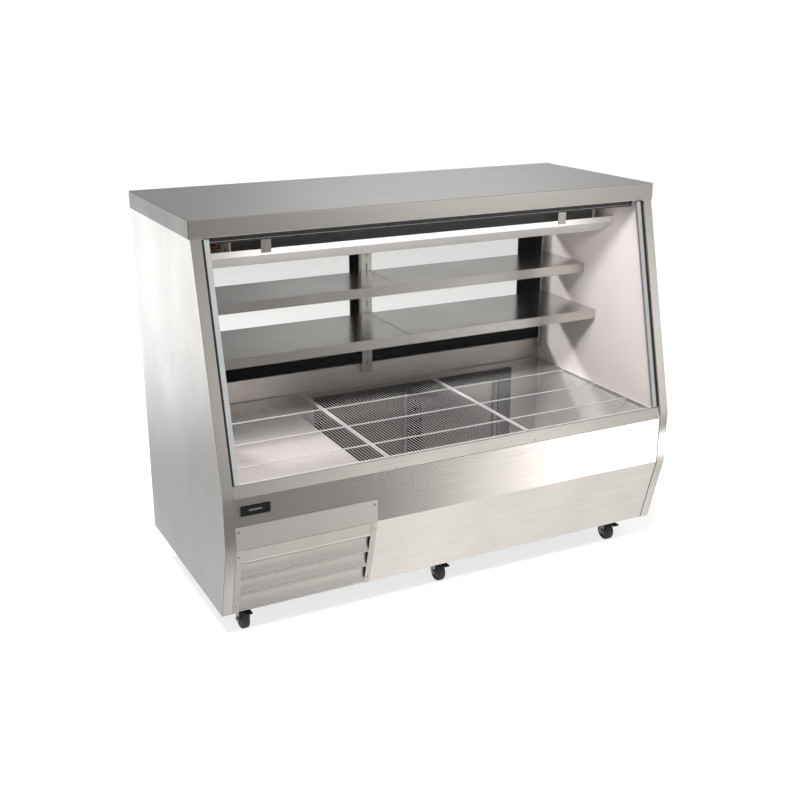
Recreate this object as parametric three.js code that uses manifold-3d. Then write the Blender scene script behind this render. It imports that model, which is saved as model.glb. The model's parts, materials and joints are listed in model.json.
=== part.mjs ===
// Refrigerated deli case on six casters: slanted front glass, stainless body, gravity coil under the
// worktop, two tiers of shelves, wire deck racks, sliding rear doors above and hinged storage doors below.
// Millimetres. +X runs along the case, -Y is the shopper's side, +Z is up.
// The origin is on the floor, under the middle of the case.

import * as THREE from 'three';
import { mergeVertices } from 'three/addons/utils/BufferGeometryUtils.js';
import Module from 'manifold-3d';

const wasm = await Module();
wasm.setup();

// ---- driving dimensions ----
const caseWidth = 1829;
const caseDepth = 904;
const caseHeight = 1440;
const gap = 0.3;                 // clearance between pieces that touch
const sheet = 2;                 // folded stainless sheet

const halfWidth = caseWidth / 2;
const backY = caseDepth / 2;
const frontY = -caseDepth / 2;
const bottomZ = 105;             // underside of the cabinet, above the casters

const worktopThick = 62;
const worktopBottom = caseHeight - worktopThick;
const worktopFrontY = -261;
const worktopOverhang = 5;

const endOuterX = halfWidth - worktopOverhang;
const endInnerX = 865;           // inner face of the end walls
const postInnerX = 872.5;        // inner edge of the stainless post face
const channelInnerX = 845.5;     // inner edge of the glass side channel
const innerX = endInnerX - gap;

const bandFrontY = frontY + 2;   // vertical band of the front
const bandTopZ = 578;
const bandBottomZ = 374;
const toeFrontY = -375;          // front edge of the toe at the bottom

const deckZ = 588;               // top of the wire deck
const ledgeTopZ = 598;
const ledgeBottomZ = 558;
const glassThick = 6;
const glassInset = 10;           // glass face behind the post face

const rearInnerY = 392;          // inner face of the back wall
const floorTopZ = 185;
const frameTopZ = bottomZ + 40;

const trackOuterX = 852;
const trackBottomZ = 676;
const trackTopZ = 1350;
const jambWidth = 37;
const doorStile = 44;
const doorThick = 11;
const leftDoorY = 411;
const rightDoorY = 430;

const storageOpenings = [[-184, 199], [269, 655]];
const storageBottomZ = 205;
const storageTopZ = 512;

const machineRightX = -295;
const machineTopZ = 492;
const grilleLeftX = -872;
const grilleRightX = -354;
const grilleTopZ = 458;
const grilleFlange = 22;
const grilleLips = [312, 243, 177, bottomZ];

const casterX = [-809, -26, 763];
const casterY = [-262, 344];     // swivel axes of the front and rear casters
const casterTrail = 34;
const wheelRadius = 38;
const wheelWidth = 30;
const axleRadius = 5;

// ---- finishes ----
const finishes = {
  stainless: { color: 0xa9a7a3, roughness: 0.38, metalness: 1 },
  shelfSteel: { color: 0x9a9a97, roughness: 0.35, metalness: 1 },
  whiteLiner: { color: 0xdedad8, roughness: 0.45, metalness: 0 },
  blackPlastic: { color: 0x17171a, roughness: 0.5, metalness: 0 },
  channelAluminium: { color: 0xb6b8b9, roughness: 0.4, metalness: 1 },
  clearGlass: { color: 0xdfe6e4, roughness: 0.04, metalness: 0, transparent: true, opacity: 0.3 },
  coilFins: { color: 0x4a4846, roughness: 0.5, metalness: 1 },
  whiteWire: { color: 0xc9c8c6, roughness: 0.4, metalness: 0 },
  blackEnamel: { color: 0x1b1b1c, roughness: 0.45, metalness: 0.2 },
  zinc: { color: 0xb9bbbc, roughness: 0.35, metalness: 1 },
  blackRubber: { color: 0x2b2b2b, roughness: 0.8, metalness: 0 },
  frameSteel: { color: 0x8d8f90, roughness: 0.5, metalness: 1 },
  lampLens: { color: 0xf4f3ee, roughness: 0.3, metalness: 0 },
};
const materials = Object.fromEntries(
  Object.entries(finishes).map(([name, look]) => [name, new THREE.MeshStandardMaterial(look)]),
);

const assembly = new THREE.Group();

function addPiece(name, geometry, finish, parent = assembly) {
  const mesh = new THREE.Mesh(geometry, materials[finish]);
  mesh.name = name;
  parent.add(mesh);
  return mesh;
}

// ---- shapes ----
function box([x0, x1], [y0, y1], [z0, z1]) {
  const geometry = new THREE.BoxGeometry(x1 - x0, y1 - y0, z1 - z0);
  return geometry.translate((x0 + x1) / 2, (y0 + y1) / 2, (z0 + z1) / 2);
}

function shapeOf(points) {
  return new THREE.Shape(points.map(([u, v]) => new THREE.Vector2(u, v)));
}

// outline in (y, z), extruded along X
function sideProfile(points, [x0, x1]) {
  const geometry = new THREE.ExtrudeGeometry(shapeOf(points), { depth: x1 - x0, bevelEnabled: false });
  const turn = new THREE.Matrix4().makeBasis(
    new THREE.Vector3(0, 1, 0), new THREE.Vector3(0, 0, 1), new THREE.Vector3(1, 0, 0),
  );
  return geometry.applyMatrix4(turn).translate(x0, 0, 0);
}

// outline in (x, z), extruded along Y
function frontProfile(points, [y0, y1]) {
  const shape = points instanceof THREE.Shape ? points : shapeOf(points);
  const geometry = new THREE.ExtrudeGeometry(shape, { depth: y1 - y0, bevelEnabled: false, curveSegments: 3 });
  return geometry.rotateX(Math.PI / 2).translate(0, y1, 0);
}

function cylinder(axis, radius, [from, to], [u, v], sides = 24) {
  const geometry = new THREE.CylinderGeometry(radius, radius, to - from, sides);
  const middle = (from + to) / 2;
  if (axis === 'x') return geometry.rotateZ(Math.PI / 2).translate(middle, u, v);
  if (axis === 'y') return geometry.translate(u, middle, v);
  return geometry.rotateX(Math.PI / 2).translate(u, v, middle);
}

function roundedRect([x0, x1], [z0, z1], r) {
  const shape = new THREE.Shape();
  shape.moveTo(x0 + r, z0).lineTo(x1 - r, z0).absarc(x1 - r, z0 + r, r, -Math.PI / 2, 0, false);
  shape.lineTo(x1, z1 - r).absarc(x1 - r, z1 - r, r, 0, Math.PI / 2, false);
  shape.lineTo(x0 + r, z1).absarc(x0 + r, z1 - r, r, Math.PI / 2, Math.PI, false);
  shape.lineTo(x0, z0 + r).absarc(x0 + r, z0 + r, r, Math.PI, 1.5 * Math.PI, false);
  return shape;
}

// ---- joining and cutting ----
function solid(geometry) {
  const plain = geometry.index ? geometry.toNonIndexed() : geometry.clone();
  plain.deleteAttribute('normal');
  plain.deleteAttribute('uv');
  const merged = mergeVertices(plain, 1e-4);
  return new wasm.Manifold(new wasm.Mesh({
    numProp: 3,
    vertProperties: new Float32Array(merged.attributes.position.array),
    triVerts: new Uint32Array(merged.index.array),
  }));
}

function geometryOf(body) {
  const { vertProperties, triVerts } = body.getMesh();
  const geometry = new THREE.BufferGeometry();
  geometry.setAttribute('position', new THREE.BufferAttribute(new Float32Array(vertProperties), 3));
  geometry.setIndex(new THREE.BufferAttribute(new Uint32Array(triVerts), 1));
  const flat = geometry.toNonIndexed();
  flat.computeVertexNormals();
  return flat;
}

function joined(pieces) {
  return geometryOf(pieces.map(solid).reduce((sum, piece) => sum.add(piece)));
}

function cut(piece, holes) {
  return geometryOf(holes.map(solid).reduce((rest, hole) => rest.subtract(hole), solid(piece)));
}

// ---- the front outline, and lines parallel to it ----
const frontLine = [
  [worktopFrontY, worktopBottom], [bandFrontY, bandTopZ], [bandFrontY, bandBottomZ], [toeFrontY, bottomZ],
];

// moves a line of points to its left-hand side (into the case, for the front line read downwards)
function offsetLine(points, distance) {
  return points.map((point, i) => {
    const before = points[Math.max(i - 1, 0)];
    const after = points[Math.min(i + 1, points.length - 1)];
    const normals = [[before, point], [point, after]]
      .filter(([a, b]) => a !== b)
      .map(([a, b]) => new THREE.Vector2(a[1] - b[1], b[0] - a[0]).normalize());
    const sum = normals.reduce((total, n) => total.add(n), new THREE.Vector2()).normalize();
    const step = distance / sum.dot(normals[0].clone().normalize());
    return [point[0] + sum.x * step, point[1] + sum.y * step];
  });
}

function sheetOutline(points, near, far) {
  return [...offsetLine(points, near), ...offsetLine(points, far).reverse()];
}

// point on the front line at a height, moved inwards
function frontAt(z, inset = 0) {
  const line = offsetLine(frontLine, inset);
  const i = z >= line[1][1] ? 0 : z >= line[2][1] ? 1 : 2;
  const t = (z - line[i][1]) / (line[i + 1][1] - line[i][1]);
  return [line[i][0] + t * (line[i + 1][0] - line[i][0]), z];
}

// the part of the inset front line between two heights, read downwards
function frontBetween(zTop, zBottom, inset) {
  const bends = offsetLine(frontLine, inset).slice(1, 3).filter(([, z]) => z < zTop && z > zBottom);
  return [frontAt(zTop, inset), ...bends, frontAt(zBottom, inset)];
}

const sides = [['left', -1], ['right', 1]];

function spanX(side, near, far) {
  return side < 0 ? [-far, -near] : [near, far];
}

// ---- base frame with the fixed caster plates ----
const plateHalf = { x: 50, y: 44 };
const plateBottomZ = 100;
function makeBaseFrame() {
  const railX = [-innerX, innerX];
  const pieces = [
    box(railX, [-344, -306], [bottomZ + 4, frameTopZ - 1]),
    box(railX, [backY - 45, backY - sheet - gap], [bottomZ + 4, frameTopZ - 1]),
    ...casterX.map((x) => box([x - 55, x + 55], [-346, backY - 20], [bottomZ, frameTopZ])),
  ];
  for (const x of casterX) {
    for (const y of casterY) {
      pieces.push(box([x - plateHalf.x, x + plateHalf.x], [y - plateHalf.y, y + plateHalf.y],
        [plateBottomZ, bottomZ + 5]));
    }
  }
  return joined(pieces);
}
addPiece('base_frame', makeBaseFrame(), 'frameSteel');

// ---- insulated floor and front wall, open behind the louvres ----
const machineAirX = [grilleLeftX + grilleFlange - 3, grilleRightX - grilleFlange + 3];
const airHoleTopZ = 440;
const wallBackY = -335;           // rear edge of the air way at the bottom
function makeTub() {
  const outer = frontBetween(ledgeBottomZ - 2.5, frameTopZ + gap, 5);
  const wallInner = frontBetween(ledgeBottomZ - 2.5, floorTopZ, 40).reverse();
  const floor = [[rearInnerY - gap, frameTopZ + gap], [rearInnerY - gap, floorTopZ]];
  const profile = sideProfile([...outer, ...floor, ...wallInner], [-innerX, innerX]);
  const airHole = sideProfile([
    [frontY, bottomZ], [frontY, airHoleTopZ], [wallBackY - 50, airHoleTopZ],
    [wallBackY - 50, airHoleTopZ - 60], [wallBackY, bottomZ],
  ], [-caseWidth, machineAirX[1]]);
  return cut(profile, [airHole]);
}
addPiece('insulated_tub', makeTub(), 'whiteLiner');

// ---- end walls: a folded stainless skin outside, a foamed white liner inside ----
const linerInset = 20;
for (const [name, side] of sides) {
  const skinTop = worktopBottom - gap;
  const wall = sideProfile([frontAt(skinTop), ...frontLine.slice(1), [backY, bottomZ], [backY, skinTop]],
    spanX(side, endInnerX, endOuterX));
  const cavity = [
    ...frontBetween(skinTop - sheet, bottomZ + sheet, sheet),
    [backY - sheet, bottomZ + sheet], [backY - sheet, skinTop - sheet],
  ];
  const besidePost = [
    ...frontBetween(skinTop - 4, bottomZ - 1, 3 * sheet), [frontY - 20, bottomZ - 1], [frontY - 20, skinTop - 4],
  ];
  addPiece(`${name}_end_skin`, cut(wall, [
    sideProfile(cavity, spanX(side, endInnerX - 5, endOuterX - sheet)),
    sideProfile(besidePost, spanX(side, endInnerX - 6, postInnerX)),
  ]), 'stainless');

  const linerBottom = bottomZ + sheet + gap;
  const linerTop = skinTop - sheet - gap;
  const linerBack = backY - sheet - gap;
  const linerOutline = [
    ...frontBetween(linerTop, linerBottom, linerInset), [linerBack, linerBottom], [linerBack, linerTop],
  ];
  addPiece(`${name}_end_liner`,
    sideProfile(linerOutline, spanX(side, endInnerX, endOuterX - sheet - gap)), 'whiteLiner');
}

// ---- front sheets ----
function makeFrontPanel() {
  const line = frontBetween(ledgeBottomZ - 2.5, bottomZ, 0);
  const outline = sheetOutline(line, sheet, 2 * sheet);
  const face = sideProfile(outline, [-postInnerX + gap, postInnerX - gap]);
  const bottomReturn = box([-innerX, innerX], [toeFrontY + 3, toeFrontY + 22], [bottomZ, bottomZ + sheet]);
  const airHole = box(machineAirX, [frontY, -300], [bottomZ - 5, grilleLips[0] + 25]);
  return cut(joined([face, bottomReturn]), [airHole]);
}
addPiece('front_panel', makeFrontPanel(), 'stainless');

// louvre panel: a flat blank above, four shingled slats below, cheeks and flanges at both sides
const louverDepth = 20;
const grilleSheet = 1.7;
function makeGrille() {
  const edge = frontBetween(grilleTopZ, bottomZ, 0);
  const blank = frontBetween(grilleTopZ, grilleLips[0], 0);
  const slatX = [grilleLeftX + grilleFlange, grilleRightX - grilleFlange];
  const pieces = [
    sideProfile(sheetOutline(edge, 0, grilleSheet), [grilleLeftX, slatX[0]]),
    sideProfile(sheetOutline(edge, 0, grilleSheet), [slatX[1], grilleRightX]),
    sideProfile(sheetOutline(blank, 0, grilleSheet), [slatX[0] - 1, slatX[1] + 1]),
  ];
  const cheek = [
    ...frontBetween(grilleLips[0] + 12, bottomZ + 8, 0.5),
    ...frontBetween(grilleLips[0] + 12, bottomZ + 8, louverDepth + 3).reverse(),
  ];
  pieces.push(sideProfile(cheek, [slatX[0] - grilleSheet, slatX[0] + 0.4]));
  pieces.push(sideProfile(cheek, [slatX[1] - 0.4, slatX[1] + grilleSheet]));
  grilleLips.forEach((lipZ, i) => {
    const hem = [frontAt(lipZ, 0), frontAt(lipZ + 1, 6)];
    pieces.push(sideProfile(sheetOutline(hem, 0, grilleSheet), slatX));
    if (i === 0) return;
    const slat = [frontAt(grilleLips[i - 1] + 4, louverDepth), frontAt(lipZ + grilleSheet, 0.6)];
    pieces.push(sideProfile(sheetOutline(slat, 0, grilleSheet), slatX));
  });
  return joined(pieces);
}
addPiece('louver_grille', makeGrille(), 'stainless');

addPiece('badge_plate', frontProfile(roundedRect([-855, -745], [491, 535], 6),
  [bandFrontY - 1.2, bandFrontY + sheet - gap]), 'blackPlastic');

// bottom retainer of the glass, folded back under it as a sill
const ledgeLine = [[frontY + 14, ledgeTopZ], [frontY, ledgeBottomZ], [-402, ledgeBottomZ]];
addPiece('front_ledge', sideProfile(sheetOutline(ledgeLine, 0, sheet), [-innerX, innerX]), 'stainless');

// ---- front glass and its side channels ----
const glassTopZ = worktopBottom - 5;
const glassBottomZ = ledgeBottomZ + 12;
function slantedStrip(zTop, zBottom, near, far) {
  return [frontAt(zTop, near), frontAt(zBottom, near), frontAt(zBottom, far), frontAt(zTop, far)];
}
const glassEdgeX = channelInnerX + 14;
addPiece('front_glass', sideProfile(
  slantedStrip(glassTopZ, bandTopZ + 8, glassInset, glassInset + glassThick), [-glassEdgeX, glassEdgeX],
), 'clearGlass');

const channelBottomZ = ledgeTopZ + 3;
for (const [name, side] of sides) {
  const wrap = slantedStrip(glassTopZ, channelBottomZ, glassInset - 2.5, glassInset + glassThick + 2.5);
  const groove = slantedStrip(glassTopZ + 5, channelBottomZ - 5, glassInset - gap,
    glassInset + glassThick + gap);
  const channel = cut(sideProfile(wrap, spanX(side, channelInnerX, endInnerX - 1)),
    [sideProfile(groove, spanX(side, channelInnerX - 5, glassEdgeX + gap))]);
  const gasket = sideProfile(slantedStrip(glassTopZ, channelBottomZ, sheet + 1, linerInset - 1),
    spanX(side, endInnerX - 1.5, postInnerX - gap));
  addPiece(`${name}_glass_channel`, joined([channel, gasket]), 'channelAluminium');
}

// ---- worktop: a folded tray over a foamed core ----
const trayX = [-halfWidth, halfWidth];
addPiece('worktop', cut(
  box(trayX, [worktopFrontY, backY], [worktopBottom, caseHeight]),
  [box([trayX[0] + sheet, trayX[1] - sheet], [worktopFrontY + sheet, backY - sheet],
    [worktopBottom - 5, caseHeight - sheet])],
), 'stainless');
addPiece('worktop_core', box(
  [trayX[0] + sheet + gap, trayX[1] - sheet - gap],
  [worktopFrontY + sheet + gap, backY - sheet - gap],
  [worktopBottom + gap, caseHeight - sheet - gap],
), 'whiteLiner');

// lamp under the front of the worktop
addPiece('light_bar', joined([
  box([-838, 838], [-236, -202], [worktopBottom - 18, worktopBottom - gap]),
  sideProfile([[-231, 1361], [-226, 1353], [-212, 1353], [-207, 1361]], [-830, 830]),
]), 'lampLens');

// ---- back wall with its three kinds of opening ----
const serviceX = [-845, -335];
const serviceZ = [200, 462];
const serviceRecess = 12;
function makeRearFrame() {
  const wall = box([-innerX, innerX], [rearInnerY, backY], [frameTopZ + gap, worktopBottom - gap]);
  const through = [rearInnerY - 5, backY + 5];
  const holes = [
    box([-trackOuterX, trackOuterX], through, [trackBottomZ, trackTopZ]),
    box([serviceX[0] + 20, serviceX[1] - 20], through, [serviceZ[0] + 20, serviceZ[1] - 20]),
    box(serviceX, [backY - serviceRecess - sheet, backY + 5], serviceZ),
    ...storageOpenings.map((span) => box(span, through, [storageBottomZ, storageTopZ])),
  ];
  return cut(wall, holes);
}
addPiece('rear_frame', makeRearFrame(), 'stainless');

// ---- sliding doors in a two-groove track ----
const trackY = [404, 449];
const grooves = [[leftDoorY - 1, leftDoorY + doorThick + 1], [rightDoorY - 1, rightDoorY + doorThick + 1]];
const railHigh = 46;
const grooveDeep = 22;
function makeTrackFrame() {
  const outerX = trackOuterX - gap;
  const z = [trackBottomZ + gap, trackTopZ - gap];
  const ring = box([-outerX, outerX], trackY, z);
  const inner = [outerX - jambWidth, z[0] + railHigh, z[1] - railHigh];
  const window = box([-inner[0], inner[0]], [trackY[0] - 5, trackY[1] + 5], [inner[1], inner[2]]);
  const slots = grooves.flatMap((y) => [
    box([-inner[0], inner[0]], y, [inner[1] - grooveDeep, inner[1] + 5]),
    box([-inner[0], inner[0]], y, [inner[2] - 5, inner[2] + grooveDeep]),
  ]);
  return cut(ring, [window, ...slots]);
}
addPiece('slide_track_frame', makeTrackFrame(), 'blackPlastic');

const doorZ = [trackBottomZ + railHigh - grooveDeep + 1, trackTopZ - railHigh + grooveDeep - 1];
const doorFar = trackOuterX - jambWidth - 1;
const doorRail = 62;
const slideDoors = [
  ['left', [-doorFar, 20], leftDoorY, -doorFar],
  ['right', [-42, doorFar], rightDoorY, doorFar],
];
for (const [name, [x0, x1], y, pullEdge] of slideDoors) {
  const glassX = [x0 + doorStile, x1 - doorStile];
  const glassZ = [doorZ[0] + doorRail, doorZ[1] - doorRail];
  const ySpan = [y, y + doorThick];
  const pullX = pullEdge < 0 ? [x0 + 14, x0 + 30] : [x1 - 30, x1 - 14];
  const frame = cut(box([x0, x1], ySpan, doorZ), [
    box(glassX, [y - 5, y + doorThick + 5], glassZ),
    box(pullX, [y + doorThick - 6, y + doorThick + 5], [960, 1080]),
  ]);
  addPiece(`${name}_slide_door`, frame, 'blackPlastic');
  addPiece(`${name}_slide_glass`, box(
    [glassX[0] + gap, glassX[1] - gap], [y + 3, y + doorThick - 3], [glassZ[0] + gap, glassZ[1] - gap],
  ), 'clearGlass');
}

// ---- storage doors under the deck ----
const storageRing = [-234, 720];
addPiece('storage_frame', cut(
  box(storageRing, [rearInnerY - 10, rearInnerY - gap], [floorTopZ + gap, 558]),
  storageOpenings.map((span) => box(span, [rearInnerY - 15, rearInnerY + 5], [storageBottomZ, storageTopZ])),
), 'blackPlastic');

const storageDoorY = [backY - 42, backY - 2];
storageOpenings.forEach((span, i) => {
  const name = i === 0 ? 'left' : 'right';
  const x = [span[0] + 3, span[1] - 3];
  const pull = i === 0 ? [x[1] - 60, x[1] - 25] : [x[0] + 25, x[0] + 60];
  const door = box(x, storageDoorY, [storageBottomZ + 3, storageTopZ - 3]);
  const pocket = box(pull, [storageDoorY[1] - 20, storageDoorY[1] + 5], [380, 470]);
  addPiece(`${name}_storage_door`, cut(door, [pocket]), 'stainless');
});

// ---- machine compartment ----
const frontOfTub = [...frontBetween(560, 140, 40 + gap), [frontY - 20, 140], [frontY - 20, 560]];
addPiece('machine_cover', cut(frontProfile([
  [-innerX, machineTopZ - 20], [machineRightX - 20, machineTopZ - 20], [machineRightX - 20, floorTopZ + gap],
  [machineRightX, floorTopZ + gap], [machineRightX, machineTopZ], [-innerX, machineTopZ],
], [frontY + 20, rearInnerY - gap]), [sideProfile(frontOfTub, [-endInnerX, endInnerX])]), 'whiteLiner');

function makeServicePanel() {
  const y = [backY - serviceRecess - sheet + gap, backY - serviceRecess + gap];
  const plate = box([serviceX[0] + gap, serviceX[1] - gap], y, [serviceZ[0] + gap, serviceZ[1] - gap]);
  const slots = [0, 1, 2, 3, 4].flatMap((row) => [-790, -650, -510].map(
    (x) => box([x - 55, x + 55], [y[0] - 5, y[1] + 5], [235 + row * 24, 243 + row * 24]),
  ));
  const gland = cylinder('y', 11, [y[0], backY - 2], [serviceX[1] - 40, serviceZ[0] + 40], 12);
  return joined([cut(plate, slots), gland]);
}
addPiece('rear_service_panel', makeServicePanel(), 'stainless');

const controlY = backY - serviceRecess + 2 * gap;
const controlZ = 415;
const knobX = -520;
const switchX = -430;
const knob = new THREE.Group();
knob.position.set(knobX, 0, controlZ);
addPiece('thermostat_knob', joined([
  cylinder('y', 17, [controlY, controlY + 4], [0, 0], 24),
  cylinder('y', 13, [controlY + 3, backY - 1], [0, 0], 16),
  box([-3, 3], [controlY + 3, backY - 0.5], [-15, 15]),
]), 'blackPlastic', knob);
assembly.add(knob);
// rocker with a V-shaped back, tilted to one of its two stops
const rockerTilt = THREE.MathUtils.degToRad(-8);
const rockerOutline = [[0, 0], [2.4, -11], [7, -11], [5.5, 0], [7, 11], [2.4, 11]];
addPiece('light_switch', sideProfile(rockerOutline, [-7, 7]).rotateX(rockerTilt)
  .translate(switchX, controlY, controlZ), 'blackPlastic');

const potRadius = 82;
const potZ = floorTopZ + 18;
const potSteps = 6;
const potProfile = [[0, potZ], [potRadius, potZ], [potRadius, potZ + 130]];
for (let i = 1; i <= potSteps; i++) {
  const angle = (Math.PI / 2) * (i / potSteps);
  potProfile.push([i === potSteps ? 0 : potRadius * Math.cos(angle), potZ + 130 + 55 * Math.sin(angle)]);
}
const pot = new THREE.LatheGeometry(potProfile.map(([r, z]) => new THREE.Vector2(r, z)), 24)
  .rotateX(Math.PI / 2).translate(-620, 150, 0);
addPiece('compressor', joined([
  pot,
  box([-725, -515], [60, 240], [floorTopZ + gap, potZ + 2]),
]), 'blackEnamel');

const condenserX = [-830, -480];
const condenserY = [-338, -298];
const condenserZ = [floorTopZ + 8, 430];
const finPitch = 29;
const condenserPieces = [
  box(condenserX, [condenserY[0] + 12, condenserY[1] - 12], [condenserZ[0] + 10, condenserZ[1] - 10]),
  box(condenserX, condenserY, [condenserZ[0], condenserZ[0] + 3]),
  box(condenserX, condenserY, [condenserZ[1] - 3, condenserZ[1]]),
];
for (let x = condenserX[0]; x <= condenserX[1]; x += finPitch) {
  condenserPieces.push(box([x - 1, x + 1], [condenserY[0] + 0.5, condenserY[1] - 0.5],
    [condenserZ[0] + 1, condenserZ[1] - 1]));
}
addPiece('condenser', joined(condenserPieces), 'coilFins');

const fanX = (condenserX[0] + condenserX[1]) / 2;
const fanZ = 312;
const fanRadius = 108;
const shroudY = condenserY[1] + 4;
function makeFanMotor() {
  const half = 168;
  const plate = cut(box([fanX - half, fanX + half], [shroudY, shroudY + 2], [fanZ - 118, fanZ + 118]),
    [cylinder('y', fanRadius + 6, [shroudY - 5, shroudY + 10], [fanX, fanZ])]);
  const motor = cylinder('y', 42, [shroudY + 46, shroudY + 110], [fanX, fanZ]);
  const arms = [-1, 1].flatMap((s) => [
    box([fanX + s * 130 - 6, fanX + s * 130 + 6], [shroudY + 1, shroudY + 62], [fanZ - 8, fanZ + 8]),
    box([Math.min(fanX + s * 130, fanX + s * 30), Math.max(fanX + s * 130, fanX + s * 30)],
      [shroudY + 50, shroudY + 62], [fanZ - 8, fanZ + 8]),
  ]);
  return joined([plate, motor, ...arms]);
}
addPiece('fan_motor', makeFanMotor(), 'blackEnamel');

const fan = new THREE.Group();
fan.position.set(fanX, 0, fanZ);
const fanPieces = [cylinder('y', 22, [shroudY + 12, shroudY + 40], [0, 0], 16)];
const bladeCount = 4;
for (let i = 0; i < bladeCount; i++) {
  const blade = new THREE.BoxGeometry(fanRadius - 16, 2, 58);
  blade.rotateX(0.45).translate((fanRadius + 16) / 2, shroudY + 26, 0);
  fanPieces.push(blade.rotateY((i * 2 * Math.PI) / bladeCount));
}
addPiece('fan_blade', joined(fanPieces), 'zinc', fan);
assembly.add(fan);

// ---- wire deck racks, resting on the sills ----
const rackY = [-402, rearInnerY - 4];
const rackNames = ['left', 'centre', 'right'];
const rackEdges = [-innerX + 1, -288, 288, innerX - 1];
const wire = 3.4;
const rodZ = [deckZ - 10, deckZ - 3.2];
const rodYs = [-396, -258, -48, 172, 382];
rackNames.forEach((name, i) => {
  const [x0, x1] = [rackEdges[i] + 2, rackEdges[i + 1] - 2];
  const pieces = rodYs.map((y) => box([x0 + 1, x1 - 1], [y - 3, y + 3], rodZ));
  const count = 8;
  for (let k = 0; k <= count; k++) {
    const x = x0 + wire / 2 + (k * (x1 - x0 - wire)) / count;
    pieces.push(box([x - wire / 2, x + wire / 2], rackY, [deckZ - wire, deckZ]));
  }
  addPiece(`${name}_deck_rack`, joined(pieces), 'whiteWire');
});

// ---- slotted uprights on the back wall ----
const uprightY = [rearInnerY - 30, rearInnerY - gap];
const uprightZ = [645, worktopBottom - gap];
const slotPitch = 50;
for (const [name, x0, x1] of [
  ['left', -862, -842], ['centre', -23, 22], ['right', 842, 862],
]) {
  const slots = [];
  const middle = (x0 + x1) / 2;
  for (let z = uprightZ[0] + 30; z < uprightZ[1] - 20; z += slotPitch) {
    slots.push(box([middle - 2.5, middle + 2.5], [uprightY[0] - 5, uprightY[0] + 8], [z, z + 24]));
  }
  addPiece(`${name}_upright`, cut(box([x0, x1], uprightY, uprightZ), slots), 'stainless');
}

// ---- shelves, each folded from one sheet and hung on two brackets ----
const shelfTiers = { upper: { topZ: 1072, frontY: 80 }, lower: { topZ: 897, frontY: -16 } };
const shelfLip = 38;
const shelfBackY = uprightY[0] - 3;
const bracketThick = 3;
for (const [tier, { topZ, frontY: shelfFrontY }] of Object.entries(shelfTiers)) {
  for (const [name, side] of sides) {
    const x = spanX(side, 1.5, endInnerX - 3);
    const pieces = [
      box(x, [shelfFrontY, shelfBackY], [topZ - sheet, topZ]),
      box(x, [shelfFrontY, shelfFrontY + sheet], [topZ - shelfLip, topZ]),
      box(x, [shelfFrontY, shelfFrontY + 12], [topZ - shelfLip, topZ - shelfLip + sheet]),
      box(x, [shelfBackY - sheet, shelfBackY], [topZ - 15, topZ]),
    ];
    const bracket = [
      [shelfFrontY + 20, topZ - 1], [shelfFrontY + 20, topZ - 16], [shelfBackY - 1, topZ - 62],
      [shelfBackY - 1, topZ - 1],
    ];
    for (const near of [6, endInnerX - 12]) {
      pieces.push(sideProfile(bracket, spanX(side, near, near + bracketThick)));
    }
    addPiece(`${tier}_${name}_shelf`, joined(pieces), 'shelfSteel');
  }
}

// ---- gravity coil and its drip pan ----
const coilX = [-710, 800];
const coilY = [-48, 330];
const coilZ = [1256, 1360];
const tubeRadius = 6;
function halfTorus(x, side, yMiddle, z, radius) {
  const bend = new THREE.CatmullRomCurve3(Array.from({ length: 7 }, (_, i) => {
    const angle = -Math.PI / 2 + (Math.PI * i) / 6;
    return new THREE.Vector3(x + side * radius * Math.cos(angle), yMiddle + radius * Math.sin(angle), z);
  }));
  const section = new THREE.Shape().absarc(0, 0, tubeRadius, 0, 2 * Math.PI, false);
  return new THREE.ExtrudeGeometry(section, { steps: 6, curveSegments: 2, bevelEnabled: false, extrudePath: bend });
}
function makeCoil() {
  const pieces = [
    box(coilX, [coilY[0] + 6, coilY[1] - 6], [1280, 1290]),
    box(coilX, [coilY[0] + 6, coilY[1] - 6], [1318, 1328]),
    box([coilX[0] - 2, coilX[0] + 3], [coilY[0] - 6, coilY[1] + 6], [coilZ[0] - 3, coilZ[1] + 3]),
    box([coilX[1] - 3, coilX[1] + 2], [coilY[0] - 6, coilY[1] + 6], [coilZ[0] - 3, coilZ[1] + 3]),
  ];
  const fins = 24;
  for (let i = 1; i < fins; i++) {
    const x = coilX[0] + (i * (coilX[1] - coilX[0])) / fins;
    pieces.push(box([x - 1, x + 1], coilY, coilZ));
  }
  for (const y of [10, 125, 240]) {
    pieces.push(halfTorus(coilX[1], 1, y, 1323, 28), halfTorus(coilX[0], -1, y + 45, 1323, 28));
  }
  return joined(pieces);
}
addPiece('evaporator_coil', makeCoil(), 'coilFins');

const panLine = [[-95, 1294], [-95, 1274], [-33, 1231], [350, 1218], [350, 1270]];
const hangerX = [-597, 615];
function makePan() {
  const x = [-innerX + 2, innerX - 2];
  const trough = sideProfile(sheetOutline(panLine, 0, -sheet), x);
  const endOutline = panLine.map(([y, z]) => [y, z]);
  const pieces = [trough];
  for (const [from, to] of [[x[0], x[0] + sheet], [x[1] - sheet, x[1]]]) {
    pieces.push(sideProfile(endOutline, [from, to]));
  }
  for (const middle of hangerX) {
    pieces.push(cut(
      box([middle - 18, middle + 18], [-99, -94.5], [1280, worktopBottom - gap]),
      [cylinder('y', 7, [-105, -90], [middle, 1335], 12)],
    ));
  }
  pieces.push(cylinder('z', 9, [1196, 1221], [-780, 320], 12));
  return joined(pieces);
}
addPiece('drip_pan', makePan(), 'whiteLiner');

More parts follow.
